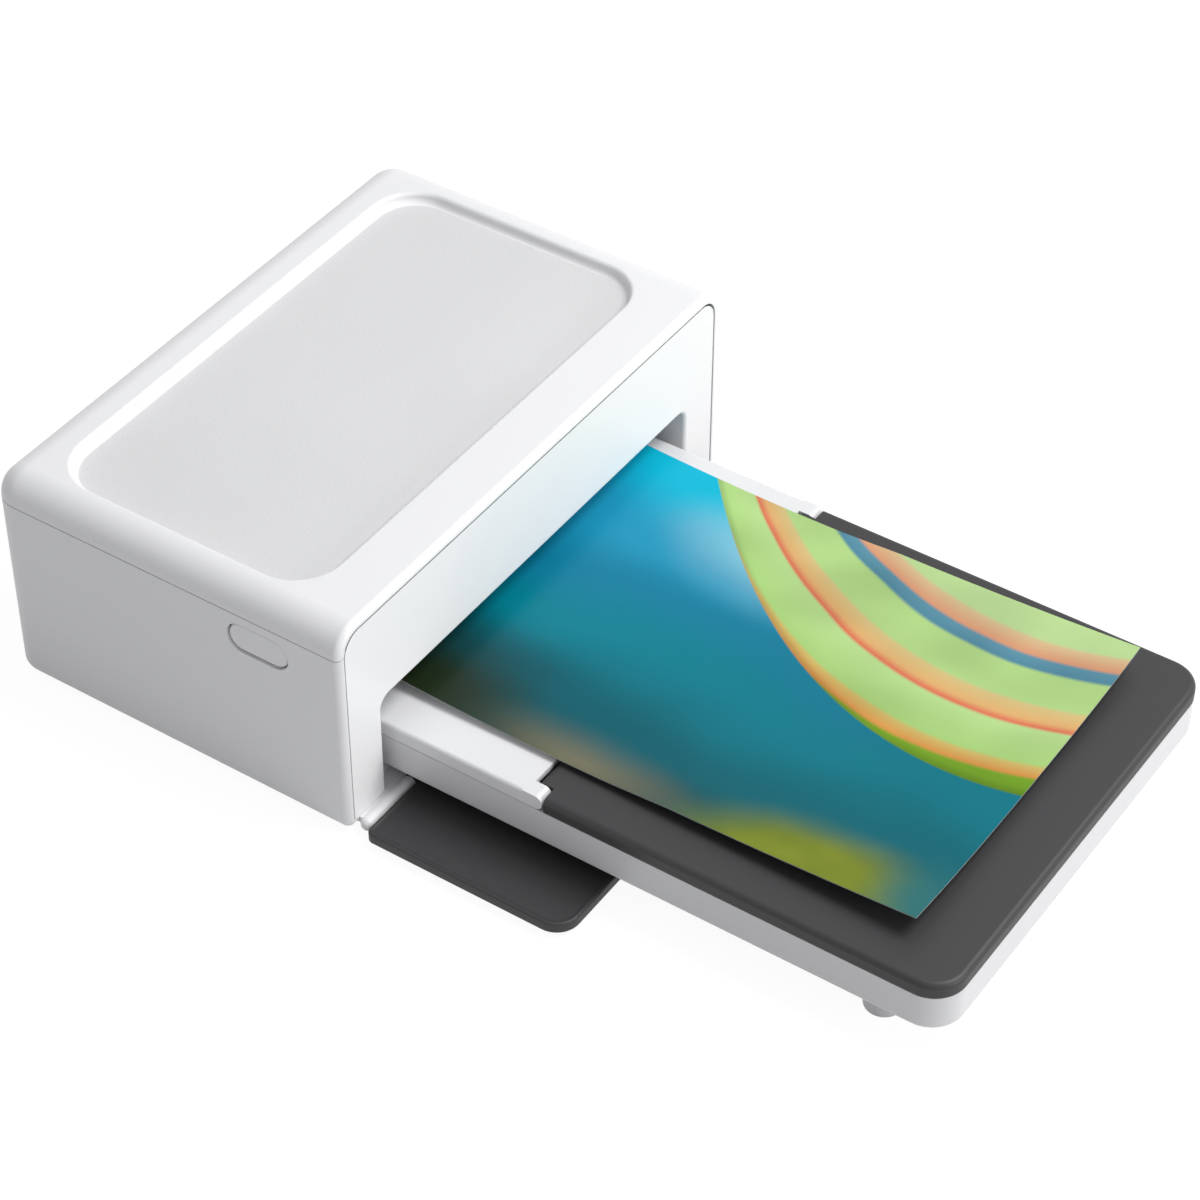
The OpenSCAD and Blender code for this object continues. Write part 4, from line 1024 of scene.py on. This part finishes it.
class PRINTER_OT_photo_sheet(Operator):
    """Fresh print that lies on the lid and curls up a little at its outer end"""

    bl_idname = "printer.photo_sheet"
    bl_label = "Photo sheet"

    def execute(self, context):
        size = sizes()
        low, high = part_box("photo_print")
        mid = (low + high) / 2
        bpy.ops.object.select_all(action="DESELECT")
        bpy.ops.mesh.primitive_grid_add(
            x_subdivisions=30, y_subdivisions=60, size=1, location=(mid.x, mid.y, low.z))
        sheet = settle("photo_sheet", (high.x - low.x, high.y - low.y, 1))
        curl(sheet, low, high)
        use_modifier(sheet, "SOLIDIFY", thickness=size.sheet_thickness, offset=1.0)
        coat(sheet, "print_paper", "photo_print")
        top_tilt, edge_tilt = 0.7, 0.5
        second_finish(sheet, "print_picture", lambda f: f.normal.z > top_tilt)
        # The print's cut edges get the dark grey: painted shade over the lit paper edge.
        second_finish(sheet, "print_edge", lambda f: abs(f.normal.z) < edge_tilt)
        smooth(sheet, 50)
        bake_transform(sheet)
        return {"FINISHED"}


FRAME_FINISHES = {
    "cassette_grey": ("cassette_rails", "pickup_arm"),
    "plate_steel": (
        "chassis_left", "chassis_right", "chassis_bars", "head_arms", "lift_springs",
        "lift_plate", "usb_port"),
    "shaft_steel": (
        "gear_studs", "head_rod", "head_springs", "pickup_shaft", "platen_shaft", "feed_roller",
        "pinch_roller", "flap_pins", "door_pins", "lid_pins"),
    "screw_steel": ("case_screws", "inner_screws"),
    "guide_black": (
        "exit_guide", "upper_guide", "lower_guide", "rear_guide", "power_inlet"),
    "motor_can": ("drive_motor", "wireless_module"),
    "cartridge_grey": ("ribbon_cartridge",),
    "ribbon_ink": ("ribbon_film", "takeup_spool", "supply_spool"),
    "board_green": ("main_board",),
    "chip_black": ("board_parts", "power_switch"),
    "sheet_paper": ("paper_stack",),
    "head_ceramic": ("thermal_head",),
    "sink_aluminium": ("head_heatsink",),
    "roller_rubber": ("platen_roller", "pickup_roller"),
    "gear_ivory": (
        "platen_gear", "feed_gear", "takeup_gear", "idler_gear", "reduction_gear"),
    "pinion_brass": ("motor_pinion",),
}


class PRINTER_OT_finishes(Operator):
    """Finishes of the frame's own parts: chassis, rollers, gears, electronics and paper"""

    bl_idname = "printer.finishes"
    bl_label = "Inner finishes"

    def execute(self, context):
        for slot, nodes in FRAME_FINISHES.items():
            for node in nodes:
                materials = frame["nodes"][node].data.materials
                materials.clear()
                materials.append(finish(slot))
        return {"FINISHED"}


# ---------------------------------------------------------------- stage

WHITE = (1.0, 1.0, 1.0, 1.0)
FLOOR_SIZE = 8.0
FLOOR_GREY = (0.70, 0.70, 0.70, 1.0)
# The floor shines by itself where it is seen, so that it comes out white and keeps its shadow.
FLOOR_GLOW, GLOW_SHARE = 1.16, 0.8
SKY_TINT = (0.97, 0.98, 1.0, 1.0)
LAMP_AIM = (0.0, -0.02, 0.03)
KEY_PLACE, KEY_SIZE = (0.38, -0.52, 1.06), 0.7
FILL_PLACE, FILL_SIZE = (0.05, -1.1, 0.30), 0.6
# The photograph's viewpoint, solved from the straight edges of the case and the cassette:
# direction and roll in degrees, place in metres, and framing as a shift.
VIEW_AZIMUTH, VIEW_ELEVATION, VIEW_ROLL = -55.22, 43.17, -0.39
VIEW_PLACE = (-0.53962, -0.35731, 0.61374)
VIEW_SHIFT = (0.0311, 0.0542)
SENSOR_WIDTH = 36.0


def empty_tree(holder):
    """Clears a material's or a world's node tree."""
    holder.use_nodes = True
    holder.node_tree.nodes.clear()
    return holder.node_tree


def background_rays(tree, x, y):
    """1 on rays that show the background: the camera's, and those in gloss or through glass."""
    rays = put(tree, "ShaderNodeLightPath", x, y).outputs
    share = maths(tree, "MAXIMUM", rays["Is Camera Ray"], rays["Is Glossy Ray"], x=x + 200, y=y)
    return maths(tree, "MAXIMUM", share, rays["Is Transmission Ray"], x=x + 300, y=y)


def mix_to(tree, output, share, first, second):
    """Mixes two shaders and sends them to an output's surface."""
    mix = put(tree, "ShaderNodeMixShader", 150, 0)
    for socket, source in zip(mix.inputs, (share, first.outputs[0], second.outputs[0])):
        wire(tree, source, socket)
    wire(tree, mix.outputs[0], put(tree, output, 400, 0).inputs["Surface"])


def stage_floor():
    bpy.ops.object.select_all(action="DESELECT")
    bpy.ops.mesh.primitive_plane_add(size=FLOOR_SIZE)
    floor = bpy.context.active_object
    floor.name = "studio_floor"
    material = bpy.data.materials.new("floor_white")
    tree = empty_tree(material)
    matt = put(tree, "ShaderNodeBsdfDiffuse", -200, 100, Color=FLOOR_GREY)
    glow = put(tree, "ShaderNodeEmission", -200, -100, Color=WHITE, Strength=FLOOR_GLOW)
    share = maths(
        tree, "MULTIPLY", background_rays(tree, -600, 300), GLOW_SHARE, x=-200, y=300)
    mix_to(tree, "ShaderNodeOutputMaterial", share, matt, glow)
    floor.data.materials.append(material)


def stage_world(strength):
    world = bpy.data.worlds.new("studio")
    bpy.context.scene.world = world
    tree = empty_tree(world)
    seen = put(tree, "ShaderNodeBackground", -100, 100, Color=WHITE, Strength=1.0)
    fill = put(tree, "ShaderNodeBackground", -100, -100, Color=SKY_TINT, Strength=strength)
    mix_to(tree, "ShaderNodeOutputWorld", background_rays(tree, -500, 200), fill, seen)


def soft_lamp(name, place, size, strength):
    """A round area lamp aimed at the part."""
    data = bpy.data.lights.new(name, "AREA")
    data.shape = "DISK"
    data.size = size
    data.energy = strength
    lamp = bpy.data.objects.new(name, data)
    bpy.context.scene.collection.objects.link(lamp)
    lamp.location = place
    lamp.rotation_euler = (Vector(LAMP_AIM) - Vector(place)).to_track_quat("-Z", "Y").to_euler()


def stage_camera(lens):
    azimuth, elevation, roll = (
        math.radians(angle) for angle in (VIEW_AZIMUTH, VIEW_ELEVATION, VIEW_ROLL))
    right = Vector((math.cos(azimuth), math.sin(azimuth), 0.0))
    outward = Vector((math.sin(azimuth), -math.cos(azimuth), 0.0))
    back = outward * math.cos(elevation) + Vector((0.0, 0.0, math.sin(elevation)))
    up = back.cross(right)
    across = right * math.cos(roll) + up * math.sin(roll)
    upward = up * math.cos(roll) - right * math.sin(roll)
    data = bpy.data.cameras.new("photo_view")
    data.sensor_width = SENSOR_WIDTH
    data.lens = lens
    data.shift_x, data.shift_y = VIEW_SHIFT
    camera = bpy.data.objects.new("photo_view", data)
    bpy.context.scene.collection.objects.link(camera)
    turn = Matrix((across, upward, back)).transposed().to_4x4()
    camera.matrix_world = Matrix.Translation(VIEW_PLACE) @ turn
    bpy.context.scene.camera = camera


class PRINTER_OT_stage(Operator):
    """Pale floor, white surroundings, soft lamps and the photograph's camera"""

    bl_idname = "printer.stage"
    bl_label = "Stage"

    def execute(self, context):
        values = context.scene.printer_stage
        stage_floor()
        stage_world(values.ambient)
        soft_lamp("key_lamp", KEY_PLACE, KEY_SIZE, values.key_power)
        soft_lamp("front_lamp", FILL_PLACE, FILL_SIZE, values.fill_power)
        stage_camera(values.lens)
        context.scene.view_settings.view_transform = "Standard"
        return {"FINISHED"}


# ---------------------------------------------------------------- add-on


class PRINTER_PT_build(Panel):
    """Lists the printer's pieces and settings"""

    bl_idname = "PRINTER_PT_build"
    bl_label = "Compact Photo Printer"
    bl_space_type = "VIEW_3D"
    bl_region_type = "UI"
    bl_category = "Printer"

    def draw(self, context):
        for operator in OPERATORS:
            self.layout.operator(operator.bl_idname)
        scene = context.scene
        for group in (scene.printer_colours, scene.printer_sizes, scene.printer_stage):
            box = self.layout.box()
            for key in group.bl_rna.properties.keys():
                if key not in {"rna_type", "name"}:
                    box.prop(group, key)


OPERATORS = (
    PRINTER_OT_case,
    PRINTER_OT_cassette,
    PRINTER_OT_flap,
    PRINTER_OT_power_button,
    PRINTER_OT_rubber_feet,
    PRINTER_OT_cartridge_door,
    PRINTER_OT_photo_sheet,
    PRINTER_OT_finishes,
    PRINTER_OT_stage,
)
CLASSES = (PrinterColours, PrinterSizes, PrinterStage, *OPERATORS, PRINTER_PT_build)


def register():
    for item in CLASSES:
        bpy.utils.register_class(item)
    bpy.types.Scene.printer_colours = PointerProperty(type=PrinterColours)
    bpy.types.Scene.printer_sizes = PointerProperty(type=PrinterSizes)
    bpy.types.Scene.printer_stage = PointerProperty(type=PrinterStage)


def unregister():
    del bpy.types.Scene.printer_colours
    del bpy.types.Scene.printer_sizes
    del bpy.types.Scene.printer_stage
    for item in reversed(CLASSES):
        bpy.utils.unregister_class(item)


def main():
    register()
    bpy.ops.printer.case()
    bpy.ops.printer.cassette()
    bpy.ops.printer.flap()
    bpy.ops.printer.power_button()
    bpy.ops.printer.rubber_feet()
    bpy.ops.printer.cartridge_door()
    bpy.ops.printer.photo_sheet()
    bpy.ops.printer.finishes()
    bpy.ops.printer.stage()
    bpy.context.view_layer.update()


if __name__ == "__main__":
    main()
